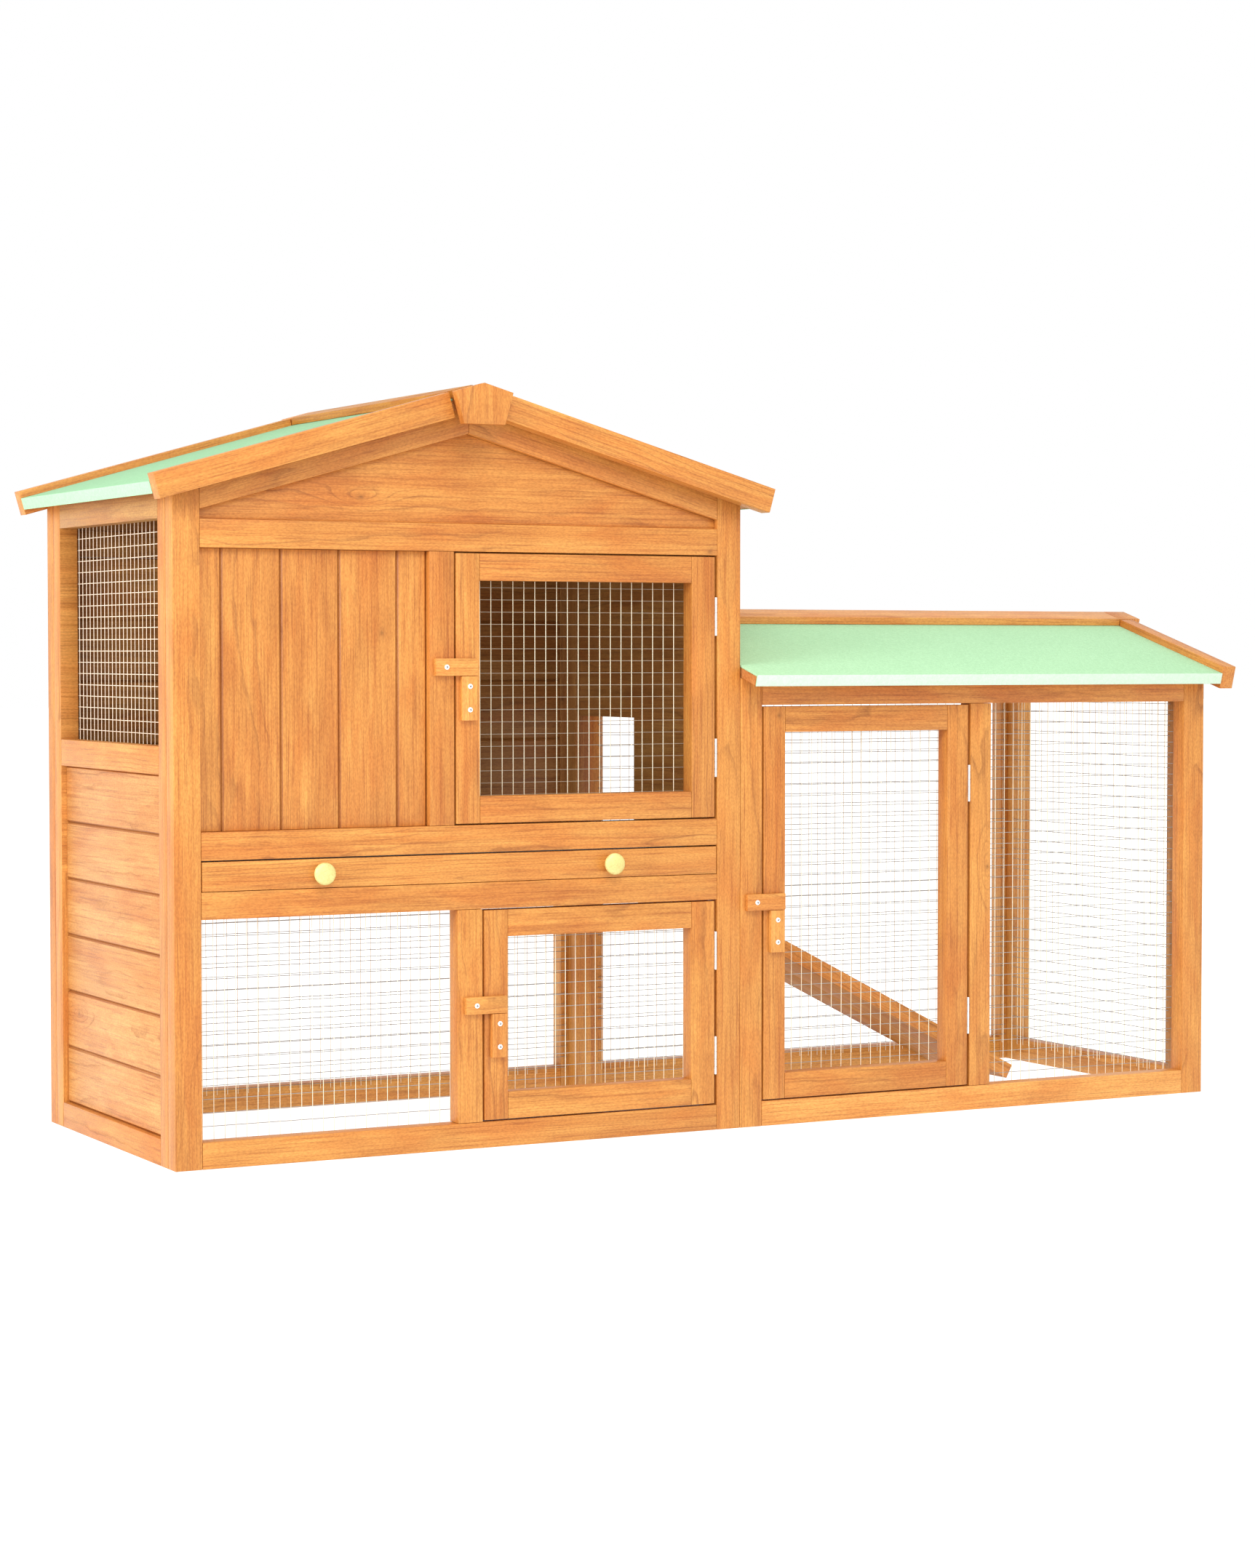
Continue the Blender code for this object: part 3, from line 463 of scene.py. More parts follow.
def repaint(thing, material, chosen):
    """Gives the chosen faces of a piece another material."""
    mesh = thing.data
    if material not in list(mesh.materials):
        mesh.materials.append(material)
    index = list(mesh.materials).index(material)
    for polygon in mesh.polygons:
        if chosen(polygon):
            polygon.material_index = index


def link(name, data):
    thing = bpy.data.objects.new(name, data)
    bpy.context.scene.collection.objects.link(thing)
    return thing


def finish_mesh(name, builder, materials):
    """Makes a mesh, moved from hutch coordinates to the CAD's."""
    bmesh.ops.recalc_face_normals(builder, faces=builder.faces)
    bmesh.ops.translate(builder, verts=builder.verts, vec=HOME)
    mesh = bpy.data.meshes.new(name)
    builder.to_mesh(mesh)
    builder.free()
    for material in materials:
        mesh.materials.append(material)
    return mesh


def add_object(name, builder, material, body, smooth=None):
    """A piece of the hutch; edges sharper than smooth, in degrees, stay sharp."""
    materials = material if isinstance(material, list) else [material]
    mesh = finish_mesh(name, builder, materials)
    if smooth is not None:
        mesh.shade_smooth()
        mesh.set_sharp_from_angle(angle=math.radians(smooth))
    thing = link(name, mesh)
    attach(thing, body)
    return thing


def grow(thing, along, across):
    """Writes the wood's own coordinates, with a random place in the log."""
    along, across = along.normalized(), across.normalized()
    through = along.cross(across)
    mesh = thing.data
    points = np.empty(len(mesh.vertices) * 3, dtype=np.float32)
    mesh.vertices.foreach_get("co", points)
    axes = np.array([along, across, through], dtype=np.float32)
    local = points.reshape(-1, 3) @ axes.T
    local -= local.mean(axis=0)
    local += np.array([rng.uniform(0, 30), rng.uniform(-0.05, 0.05),
                       rng.choice((-1, 1)) * rng.uniform(0.02, 0.075)], dtype=np.float32)
    layer = mesh.attributes.new("grain", "FLOAT_VECTOR", "POINT")
    layer.data.foreach_set("vector", local.astype(np.float32).ravel())


def timber(name, axis, outline, low, high, along, body="root", material=None,
           edge=0.0009, across=None, cad=None):
    """A board with eased edges: an outline pushed along axis.

    along and across say how its grain lies; cad is the node it replaces.
    """
    builder = bmesh.new()
    push(builder, [place(axis, u, v, low) for u, v in outline], place(axis, 0, 0, high - low))
    bmesh.ops.recalc_face_normals(builder, faces=builder.faces)
    sharp = [e for e in builder.edges if e.calc_face_angle(0.0) > math.radians(25)]
    bmesh.ops.bevel(builder, geom=sharp, offset=edge, segments=2, profile=0.6,
                    affect="EDGES", clamp_overlap=True)
    thing = add_object(name, builder, material or HONEY, body, 40)
    if across is None:
        options = [v for v in (X, Y, Z) if abs(v.dot(along)) < 0.5]
        size = thing.dimensions
        across = max(options, key=lambda v: abs(v.dot(size)))
        across = (across - along * across.dot(along)).normalized()
    grow(thing, along, across)
    if cad:
        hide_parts(cad)
    return thing


def bar(name, x, y, z, along, **options):
    outline = [(x[0], y[0]), (x[1], y[0]), (x[1], y[1]), (x[0], y[1])]
    return timber(name, "Z", outline, z[0], z[1], along, **options)


def plank(name, x, y, z, along, face, both=False, material=None, **options):
    """A board whose long edges are chamfered on the face side, as V joints.

    With both, the hidden face has them too. Stain gathers in the joints.
    """
    joint = next(v for v in (X, Y, Z) if abs(v.dot(along)) < 0.5 and abs(v.dot(face)) < 0.5)
    limits = {"X": x, "Y": y, "Z": z}
    a, f, j = ("XYZ"[max(range(3), key=lambda i: abs(way[i]))] for way in (along, face, joint))
    toward = 1 if sum(face) > 0 else -1
    hidden, shown = limits[f][::toward]
    deep = shown - toward * CHAMFER
    low, high = limits[j]
    section = [(low, hidden), (high, hidden), (high, deep), (high - CHAMFER, shown),
               (low + CHAMFER, shown), (low, deep)]
    if both:
        rear = hidden + toward * CHAMFER
        section[:2] = [(low, rear), (low + CHAMFER, hidden), (high - CHAMFER, hidden),
                       (high, rear)]
    order = {"X": ("Y", "Z"), "Y": ("X", "Z"), "Z": ("X", "Y")}[a]
    outline = section if order == (j, f) else [(v, u) for u, v in section]
    thing = timber(name, a, outline, *limits[a], along, edge=0.0004, across=joint,
                   material=[*(material or [HONEY]), STAIN], **options)
    repaint(thing, STAIN, lambda p: 0.3 < abs(p.normal.dot(face)) < 0.95)
    return thing


def circle(builder, centre, out, radius, sides, turn=0.0):
    """A ring of points round out, turned by a part of one side."""
    side = out.orthogonal().normalized()
    other = out.cross(side)
    ring = []
    for i in range(sides):
        angle = 2 * math.pi * (i + turn) / sides
        spoke = side * math.cos(angle) + other * math.sin(angle)
        ring.append(builder.verts.new(centre + spoke * radius))
    return ring


def tube(builder, start, end, radius, sides=6):
    """A straight closed wire between two points."""
    way = (end - start).normalized()
    rings = [circle(builder, centre, way, radius, sides, 0.5) for centre in (start, end)]
    for i in range(sides):
        j = (i + 1) % sides
        builder.faces.new((rings[0][i], rings[0][j], rings[1][j], rings[1][i]))
    builder.faces.new(rings[0][::-1])
    builder.faces.new(rings[1])


WELD = 0.92      # the layers' distance as a share of touching: the wires bite
# Per panel: the radii and materials of the uprights and level wires; the level wires of all panels
# but the left one get painted shade.
WIRES = {
    "house_left_mesh": (SIDE_R, SIDE_R, (SIDE_WIRE, SIDE_WIRE)),
    "upper_door_mesh": (WIRE_R, LEVEL_R, (WIRE, WIRE_SHADE)),
    "others": (WIRE_R, LEVEL_R, (WIRE, WIRE_SHADE_GREY)),
}


def welded_mesh(node, normal, body="root", front=-1, upright=None, level=None):
    """Two layers of straight wire, welded where they cross.

    normal is the axis across the panel. The uprights lie on the side that
    front points to, and the level wires just behind them. upright and level
    are (place of one wire, pitch), or None for an even spread.
    """
    low, high = corners(node)
    flat, depth = (0, 1) if normal == "Y" else (1, 0)
    middle = (low[depth] + high[depth]) / 2
    upright_r, level_r, wires = WIRES.get(node, WIRES["others"])
    stand = (upright_r + level_r) / 2 * WELD
    upright_d, level_d = middle + front * stand, middle - front * stand

    def spot(u, v, d):
        point = Vector((0, 0, v))
        point[flat] = u
        point[depth] = d
        return point

    def marks(start, end, one):
        at, pitch = one or ((start + end) / 2, WIRE_PITCH)
        at -= math.floor((at - start - WIRE_R) / pitch) * pitch
        while at <= end - WIRE_R:
            yield at
            at += pitch

    uprights, levels = bmesh.new(), bmesh.new()
    for u in marks(low[flat], high[flat], upright):
        tube(uprights, spot(u, low.z, upright_d), spot(u, high.z, upright_d), upright_r)
    for v in marks(low.z, high.z, level):
        tube(levels, spot(low[flat], v, level_d), spot(high[flat], v, level_d), level_r)
    thing = add_object(node + "_uprights", uprights, wires[0], body, 50)
    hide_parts(node)
    add_object(node + "_levels", levels, wires[1], body, 50)


def lathe(builder, centre, out, profile, sides):
    """A turned form: profile is (radius, height along out) from foot to top."""
    rings = []
    for radius, height in profile:
        at = centre + out * height
        rings.append(circle(builder, at, out, radius, sides) if radius > 0
                     else [builder.verts.new(at)])
    for lower, upper in zip(rings, rings[1:]):
        for i in range(sides):
            j = (i + 1) % sides
            if len(lower) == 1:
                builder.faces.new((lower[0], upper[i], upper[j]))
            elif len(upper) == 1:
                builder.faces.new((lower[i], lower[j], upper[0]))
            else:
                builder.faces.new((lower[i], lower[j], upper[j], upper[i]))


def screw(name, centre, out, body):
    """A domed cross-head screw, its head standing on the wood."""
    radius, rim, rise = SCREW_R, SCREW_RIM, SCREW_RISE
    builder = bmesh.new()
    dome = [(0.0, -rim), (radius, -rim), (radius, rim)]
    for step in range(1, 7):
        angle = math.radians(90 * step / 7)
        dome.append((radius * math.cos(angle), rim + rise * math.sin(angle)))
    dome.append((0.0, rim + rise))
    lathe(builder, centre, out, dome, 24)
    head = add_object(name, builder, [ZINC, DARK], body, 35)
    cross = bmesh.new()
    side = out.orthogonal().normalized()
    turn = Matrix.Rotation(rng.uniform(0, math.pi), 3, out)
    for way in (turn @ side, turn @ out.cross(side)):
        long, wide = way * (radius * SLOT_LONG), out.cross(way) * (radius * SLOT_WIDE)
        slot = [centre + long * a + wide * b + out * c
                for a in (-1, 1) for b in (-1, 1) for c in SLOT_DEPTHS]
        bmesh.ops.convex_hull(cross, input=[cross.verts.new(corner) for corner in slot])
    cutter = link(name + "_cut", finish_mesh(name + "_cut", cross, [ZINC]))
    repaint(cutter, DARK, lambda p: True)
    cut = head.modifiers.new("cross", "BOOLEAN")
    cut.object = cutter
    cut.operation = "DIFFERENCE"
    cut.solver = "EXACT"
    cut.use_self = True
    bpy.context.view_layer.update()
    graph = bpy.context.evaluated_depsgraph_get()
    done = bpy.data.meshes.new_from_object(head.evaluated_get(graph))
    head.modifiers.clear()
    head.data = done
    bpy.data.objects.remove(cutter)


# ---------- house: front frame
def rafter_foot(x):
    return RAFTER_FOOT + SLOPE * min(x, HOUSE_W - x)


def under_roof(x):
    return WALL_TOP + SLOPE * min(x, HOUSE_W - x) - GAP


def corner_post(name, x, y, cad=None):
    """A post of the house, its top cut to the slope of the roof."""
    outline = [(x[0], 0), (x[1], 0), (x[1], under_roof(x[1])), (x[0], under_roof(x[0]))]
    timber(name, "Y", outline, y[0], y[1], Z, across=X, cad=cad)


front_y, back_y = (0, FRAME_T), (BACK_Y, DEPTH)
corner_post("post_front_left", (0, POST_W), front_y, "house_front_left_post")
corner_post("post_front_right", (RIGHT_POST_X, HOUSE_W), front_y, "house_front_right_post")
inner_x = (POST_W + GAP, RIGHT_POST_X - GAP)
for name, z, cad in (("rail_gable", (GABLE_Z, GABLE_Z + RAIL_H), "house_gable_rail"),
                     ("rail_deck", (DECK_Z, ROOM_Z), "house_deck_rail"),
                     ("rail_lower", (LOWER_RAIL_Z, TRAY_Z), "house_lower_rail"),
                     ("rail_base", (0, BASE_H), "house_front_base_rail")):
    bar(name, inner_x, front_y, z, X, cad=cad)
bar("mullion_upper", (UPPER_MULLION_X, UPPER_MULLION_X + MULLION_W), front_y,
    (ROOM_Z + GAP, GABLE_Z - GAP), Z, cad="house_upper_mullion")
bar("mullion_lower", (LOWER_MULLION_X, LOWER_MULLION_X + MULLION_W), front_y,
    (BASE_H + GAP, LOWER_RAIL_Z - GAP), Z, cad="house_lower_mullion")

gable_foot = GABLE_Z + RAIL_H + GAP
side = POST_W + GAP
left_rafter = [(side, rafter_foot(side)), (MID_X - GAP / 2, rafter_foot(MID_X)),
               (MID_X - GAP / 2, under_roof(MID_X)), (side, under_roof(side))]
right_rafter = [(HOUSE_W - u, v) for u, v in left_rafter][::-1]
gable_board = [(side, gable_foot), (HOUSE_W - side, gable_foot),
               (HOUSE_W - side, rafter_foot(side) - GAP), (MID_X, rafter_foot(MID_X) - GAP),
               (side, rafter_foot(side) - GAP)]


def house_gable(label, y, board_y, cad=None):
    """Two rafters between the posts, and the board that fills the gable."""
    timber(f"rafter_{label}_left", "Y", left_rafter, *y, UP_LEFT, across=Z - X * SLOPE, cad=cad)
    timber(f"rafter_{label}_right", "Y", right_rafter, *y, UP_RIGHT, across=Z + X * SLOPE)
    timber(f"gable_board_{label}", "Y", gable_board, *board_y, X, across=Z, edge=0.0005)


house_gable("front", front_y, PANEL_Y, "house_front_gable")

# ---------- upright plank panel
panel_joints = (POST_W + GAP, 0.0620, 0.1360, 0.2095, 0.2840, UPPER_MULLION_X - GAP)
for i, (a, b) in enumerate(zip(panel_joints, panel_joints[1:])):
    plank(f"panel_plank_{i + 1}", (a, b - SEAM), PANEL_Y, (ROOM_Z + GAP, GABLE_Z - GAP), Z, -Y,
          cad="house_plank_panel" if i == 0 else None)

# ---------- back frame
corner_post("post_back_left", (0, POST_W), back_y, "house_back_frame")
corner_post("post_back_right", (RIGHT_POST_X, HOUSE_W), back_y)
back_in = BACK_Y + BACK_IN
house_gable("back", back_y, (back_in, back_in + BACK_GABLE_T))
bar("rail_back_gable", inner_x, back_y, (GABLE_Z, GABLE_Z + RAIL_H), X)
bar("rail_back_middle", inner_x, back_y, (LOWER_RAIL_Z, TRAY_Z), X)
bar("rail_back_base", inner_x, back_y, (0, BASE_H), X)
plank_h = 0.0796
for i in range(5):
    low = TRAY_Z + GAP + plank_h * i
    high = min(low + plank_h - SEAM, GABLE_Z - GAP)
    plank(f"back_plank_{i + 1}", inner_x, (back_in, back_in + BACK_PLANK_T), (low, high), X,
          -Y, both=True, material=[HONEY, BACK_INNER_SHADE],
          cad="house_back_planks" if i == 0 else None)

# ---------- left side
side_x = (0, SIDE_T)
stile_f, stile_b = (FRAME_T + GAP, SIDE_Y0), (SIDE_Y1, BACK_Y - GAP)
between = (SIDE_Y0 + GAP, SIDE_Y1 - GAP)


def side_frame(label, x, material=None):
    """The two stiles of a side wall and the rail under the eave."""
    tall = (0, WALL_TOP - GAP)
    bar(f"stile_{label}_front", x, stile_f, tall, Z, across=Y, cad=f"house_{label}_frame")
    bar(f"stile_{label}_back", x, stile_b, tall, Z, across=Y)
    bar(f"rail_{label}_top", x, between, (WALL_TOP - RAIL_H, WALL_TOP - GAP), Y, across=Z,
        material=material)


# The left wall's top rail gets painted shadow of the eave.
side_frame("left", side_x, EAVE_SHADOW)
bar("rail_left_middle", side_x, between, (SIDE_MID_Z, SIDE_MID_Z + RAIL_H), Y, across=Z)
bar("rail_left_base", side_x, between, (0, BASE_H), Y, across=Z)
slat_h = (SIDE_MID_Z - BASE_H) / 6
# The slats get the paler copy of the wood: painted sheen.
for i in range(6):
    low = BASE_H + slat_h * i + (GAP if i == 0 else 0)
    high = BASE_H + slat_h * (i + 1) - HAIR
    plank(f"left_slat_{i + 1}", SLAT_X, between, (low, high), Y, -X,
          material=[SLAT_SHEEN], cad="house_left_slats" if i == 0 else None)

# ---------- right side
wall_x = HOUSE_W - SIDE_T
side_x = (wall_x, HOUSE_W)
side_frame("right", side_x)
bar("rail_right_middle", side_x, between, (LOWER_RAIL_Z, TRAY_Z), Y, across=Z)
wall_low, wall_high = TRAY_Z + GAP, WALL_TOP - RAIL_H - GAP
joints_z = (wall_low, 0.3855, 0.4492, DOORWAY_Z, 0.5735, 0.634, 0.6945, wall_high)
for i, (a, b) in enumerate(zip(joints_z, joints_z[1:])):
    span = (between[0], DOORWAY_Y) if b <= DOORWAY_Z else between
    board = plank(f"right_plank_{i + 1}", (wall_x + WALL_X[0], wall_x + WALL_X[1]), span,
                  (a, b - SEAM), Y, X, material=[HONEY, INNER_SHADE],
                  cad="house_right_wall" if i == 0 else None)
    # The planks' faces towards the room get painted shade.
    repaint(board, INNER_SHADE, lambda p: p.normal.x < 0.2)

# ---------- shelf and tray
bar("shelf_board", *spans("tray_shelf"), X, edge=0.0005, material=PLY, cad="tray_shelf")
bar("tray_board", *spans("tray_front"), X, body="tray", cad="tray_front")


def tray_pan():
    """A folded sheet: its section, from the underside to the floor, on four sides."""
    low, high = corners("tray_pan")
    wall, floor, lip = 0.0012, 0.0015, 0.0030
    side = lip * 0.5
    profile = [(side + 0.001, low.z), (side, low.z + 0.001), (side, high.z - lip),
               (0.0, high.z - lip), (0.0, high.z), (side + wall, high.z),
               (side + wall, low.z + floor)]
    builder = bmesh.new()
    loops = []
    for inset, height in profile:
        ring = [(low.x + inset, low.y + inset), (high.x - inset, low.y + inset),
                (high.x - inset, high.y - inset), (low.x + inset, high.y - inset)]
        loops.append([builder.verts.new((u, v, height)) for u, v in ring])
    for a, b in zip(loops, loops[1:]):
        for i in range(4):
            j = (i + 1) % 4
            builder.faces.new((a[i], a[j], b[j], b[i]))
    builder.faces.new(loops[0])
    builder.faces.new(loops[-1])
    thing = add_object("tray_sheet_pan", builder, SHEET, "tray")
    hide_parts("tray_pan")


tray_pan()


KNOB = ((0.0, 0.0), (0.58, 0.0), (0.55, 0.08), (0.53, 0.20), (0.60, 0.29), (0.80, 0.37),
        (0.93, 0.47), (0.99, 0.60), (1.0, 0.70), (0.985, 0.80), (0.93, 0.885), (0.84, 0.945),
        (0.70, 0.98), (0.45, 0.995), (0.0, 1.0))    # shares of its radius and length


def knob(name, node):
    low, high = corners(node)
    centre = Vector(((low.x + high.x) / 2, high.y, (low.z + high.z) / 2))
    radius, length = (high.x - low.x) / 2, high.y - low.y
    builder = bmesh.new()
    lathe(builder, centre, -Y, [(r * radius, h * length) for r, h in KNOB], 48)
    thing = add_object(name, builder, PALE, "tray", 60)
    grow(thing, Y, X)
    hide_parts(node)


knob("knob_left", "tray_knob_left")
knob("knob_right", "tray_knob_right")


# ---------- doors
def door(label, opening_x, opening_z, upright, level):
    """Two stiles, two rails between them, and the mesh behind."""
    left, right = opening_x[0] + GAP_FREE, opening_x[1] - GAP_HINGE
    low, high = opening_z[0] + GAP_V, opening_z[1] - GAP_V
    mesh_low, mesh_high = corners(label + "_mesh")
    w0, w1 = mesh_low.x + MESH_LAP, mesh_high.x - MESH_LAP
    y, rail = (0.0, DOOR_T), (w0 + HAIR, w1 - HAIR)
    bar(label + "_stile_free", (left, w0), y, (low, high), Z, body=label,
        cad=label + "_frame")
    bar(label + "_stile_hinged", (w1, right), y, (low, high), Z, body=label)
    bar(label + "_rail_top", rail, y, (high - DOOR_RAIL, high), X, body=label)
    bar(label + "_rail_bottom", rail, y, (low, low + DOOR_RAIL), X, body=label)
    welded_mesh(label + "_mesh", "Y", label, upright=upright, level=level)


door("upper_door", (UPPER_MULLION_X + MULLION_W, RIGHT_POST_X), (ROOM_Z, GABLE_Z),
     (0.3997, 0.01485), (0.4408, 0.0148))
door("lower_door", (LOWER_MULLION_X + MULLION_W, RIGHT_POST_X), (BASE_H, LOWER_RAIL_Z),
     (0.4326, 0.0138), (0.0765, 0.0146))
door("run_door", (RUN_OPEN_X, RUN_MULLION_X), (BASE_H, RUN_RAIL_Z),
     (0.8238, 0.01495), (0.3309, 0.01425))


def latch(label, body):
    """Turn button with one screw, catch block with two."""
    node = label + "_turn_button"
    x, y, z = spans(node)
    bar(label + "_button", x, y, z, X, body=body, edge=0.0012, across=Z, material=LIGHTER_WOOD,
        cad=node)
    pivot = pin(body)
    screw(label + "_button_screw", Vector((pivot.x, y[0], pivot.z)), -Y, body)
    node = label + "_catch_block"
    x, y, z = spans(node)
    bar(label + "_catch", x, y, z, Z, body=label, edge=0.0012, across=X, material=LIGHTER_WOOD,
        cad=node)
    for i, share in enumerate((0.23, 0.755)):
        spot = Vector(((x[0] + x[1]) / 2, y[0], z[1] - share * (z[1] - z[0])))
        screw(f"{label}_catch_screw_{i + 1}", spot, -Y, label)


latch("upper_door", "upper_latch")
latch("lower_door", "lower_latch")
latch("run_door", "run_latch")


def hinge(label, which):
    """A butt hinge: knuckles on a pin, and leaves notched round each other's."""
    node = f"{label}_{which}_hinge"
    low, high = corners(node)
    axis = pin(label)
    radius = SLIM * (axis.x - low.x)
    step = (high.z - low.z) / KNUCKLES
    for body, odd, side, word in (("root", 0, 1, "post"), (label, 1, -1, "door")):
        builder = bmesh.new()
        near = axis.x + side * LEAF_OFF
        leaf = []
        for i in range(KNUCKLES):
            z0, z1 = low.z + step * i + EASE, low.z + step * (i + 1) - EASE
            own = i % 2 == odd
            if own:
                long = z1 - z0
                lathe(builder, Vector((axis.x, axis.y, z0)), Z,
                      [(0.0, 0.0), (radius - EASE, 0.0), (radius, EASE), (radius, long - EASE),
                       (radius - EASE, long), (0.0, long)], 20)
            reach = axis.y + (0.0 if own else radius + EASE)
            leaf += [(near, reach, z0), (near, reach, z1)]
        leaf += [(near, LEAF_D, high.z - EASE), (near, LEAF_D, low.z + EASE)]
        push(builder, leaf, (side * LEAF_T, 0, 0))
        thing = add_object(f"{node}_{word}_half", builder, ZINC, body, 40)
        if body == "root":
            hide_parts(node)


for label in ("upper_door", "lower_door", "run_door"):
    for which in ("lower", "upper"):
        hinge(label, which)

# ---------- mesh panels
welded_mesh("house_lower_mesh", "Y", upright=(0.0426, 0.0138), level=(0.1257, 0.01585))
welded_mesh("house_left_mesh", "X", upright=(0.0580, 0.0138), level=(0.5025, 0.01405))
welded_mesh("run_front_mesh", "Y", upright=(1.1530, 0.0139), level=(0.0422, 0.0145))
for node, normal in (("house_back_mesh", "Y"), ("run_back_mesh", "Y"), ("run_right_mesh", "X")):
    welded_mesh(node, normal, front=1)

# ---------- run
run_x = HOUSE_W + GAP
top = RUN_WALL_TOP - GAP
span = (RUN_OPEN_X + GAP, RUN_RIGHT_X - GAP)


def run_frame(label, y, material=None):
    """Two posts and two rails; material is the base rail's."""
    bar(f"run_post_{label}_left", (run_x, RUN_OPEN_X), y, (0, top), Z, across=X,
        cad=f"run_{label}_frame")
    bar(f"run_post_{label}_right", (RUN_RIGHT_X, TOTAL_W), y, (0, top), Z, across=X)
    bar(f"run_rail_{label}_top", span, y, (RUN_RAIL_Z, top), X)
    bar(f"run_rail_{label}_base", span, y, (0, BASE_H), X, material=material)


# The run's front base rail gets a lighter copy of the wood: painted light.
run_frame("front", front_y, LIT_WOOD)
bar("run_mullion", (RUN_MULLION_X, RUN_MULLION_X + RUN_POST_W), front_y,
    (BASE_H + GAP, RUN_RAIL_Z - GAP), Z)
run_frame("back", back_y)
end_x = (TOTAL_W - SIDE_T, TOTAL_W)
stile = bar("run_stile_front", end_x, stile_f, (0, top), Z, across=Y, cad="run_right_frame")
# The stile's inner side gets painted shade: the darker copy of the wood.
repaint(stile, INNER_SHADE, lambda p: p.normal.x < -0.9)    # its inner side looks darker
bar("run_stile_back", end_x, stile_b, (0, top), Z, across=Y)
bar("run_rail_end_base", end_x, between, (0, BASE_H), Y, across=Z)
bar("run_rail_end_top", end_x, between, (RUN_RAIL_Z, RUN_RAIL_Z + RAIL_H), Y, across=Z)
foot = RUN_RAIL_Z + RAIL_H + GAP


def run_under(y):
    return RUN_WALL_TOP + SLOPE * min(y, DEPTH - y) - GAP


gable = [(between[0], foot), (between[1], foot), (between[1], run_under(between[1])),
         (MID_Y, run_under(MID_Y)), (between[0], run_under(between[0]))]
timber("run_gable_board", "X", gable, end_x[0] + 0.004, end_x[1] - 0.006, Y, across=Z, edge=0.0006)

# ---------- ramp
ramp_low, ramp_high = corners("run_ramp")
RC, RS = math.cos(RAMP_SLOPE), math.sin(RAMP_SLOPE)
ramp_length = (RAMP_TOP - RAMP_T * RC) / RS
start = (HOUSE_W + GAP, RAMP_TOP)


def on_ramp(along, up):
    return (start[0] + along * RC + up * RS, start[1] - along * RS + up * RC)


down = Vector((RC, 0, -RS))
ramp_side = [(start[0], RAMP_TOP - RAMP_T / RC), on_ramp(ramp_length, -RAMP_T),
             on_ramp(ramp_length, 0), start]
ramp_boards = ((ramp_low.y, ramp_low.y + RAMP_JOINT[0]),
               (ramp_low.y + RAMP_JOINT[1], ramp_high.y))
for i, (a, b) in enumerate(ramp_boards):
    board = timber(f"ramp_board_{i + 1}", "Y", ramp_side, a, b, down, across=Y,
                   material=[HONEY, UNDER_SHADE], cad="run_ramp" if i == 0 else None)
    # Faces looking down get painted shade.
    repaint(board, UNDER_SHADE, lambda p: p.normal.z < -0.5)
for i in range(CLEATS):
    middle = (i + 1) * ramp_length / (CLEATS + 1)
    foot_half, top_half = CLEAT_W / 2, CLEAT_W / 2 - 0.0008
    cleat = [on_ramp(middle - foot_half, 0.0001), on_ramp(middle + foot_half, 0.0001),
             on_ramp(middle + top_half, CLEAT_H), on_ramp(middle - top_half, CLEAT_H)]
    timber(f"ramp_cleat_{i + 1}", "Y", cleat, ramp_low.y + CLEAT_IN, ramp_high.y - CLEAT_IN, Y,
           across=down)


# ---------- roofs
def slope_outline(wall_top, tip, high_u, lift, thickness, square=True):
    def line(u, offset):
        return wall_top + SLOPE * u + offset / COS

    foot_u = tip + thickness * SIN
    high_foot = high_u + thickness * SIN if square else high_u
    return [(foot_u, line(foot_u, lift)), (high_foot, line(high_foot, lift)),
            (high_u, line(high_u, lift + thickness)), (tip, line(tip, lift + thickness))]


def flip(outline, middle):
    return [(2 * middle - u, v) for u, v in outline][::-1]


HOUSE = ("Y", MID_X, WALL_TOP)       # a roof's ridge axis, its middle, its walls' top
RUN = ("X", MID_Y, RUN_WALL_TOP)


def roof_slab(name, roof, tip, low, high, along, across, cad, mirror=False):
    """A board under a felt that is turned down over the eave."""
    axis, middle, wall_top = roof
    board_t = SLAB_T - FELT_T
    deck = slope_outline(wall_top, tip + FELT_T, middle - DECK_IN, 0.0, board_t, False)
    felt = slope_outline(wall_top, tip, middle - FELT_IN, board_t, FELT_T, False)
    eave_foot = slope_outline(wall_top, tip, middle, 0.0, SLAB_T, False)[0]
    (foot_u, foot_v), (top_u, top_v) = deck[0], deck[3]
    outline = [eave_foot, (foot_u - PLAY, foot_v), (top_u - PLAY, top_v + PLAY),
               (felt[1][0], felt[1][1] + PLAY), felt[2], felt[3]]
    if mirror:
        deck, outline = flip(deck, middle), flip(outline, middle)
    timber(name + "_board", axis, deck, low + DECK_IN, high - DECK_IN, along, across=across,
           material=PLY, cad=cad)
    builder = bmesh.new()
    push(builder, [place(axis, u, v, low) for u, v in outline], place(axis, 0, 0, high - low))
    sharp = [e for e in builder.edges if e.calc_face_angle(0.0) > math.radians(40)]
    bmesh.ops.bevel(builder, geom=sharp, offset=0.0005, segments=2, profile=0.6, affect="EDGES")
    # Faces turned down over the eave get a lighter felt, painted light; the house's slopes get a
    # darker felt, painted shade.
    top_shade, lip_lit = (FELT, FELT_EDGE_LIT) if axis == "X" else (HOUSE_FELT_SHADE, FELT)
    cover = add_object(name + "_felt", builder, top_shade, "root", 50)
    uphill = -across if mirror else across
    repaint(cover, lip_lit, lambda p: p.normal.dot(uphill) < -0.55)


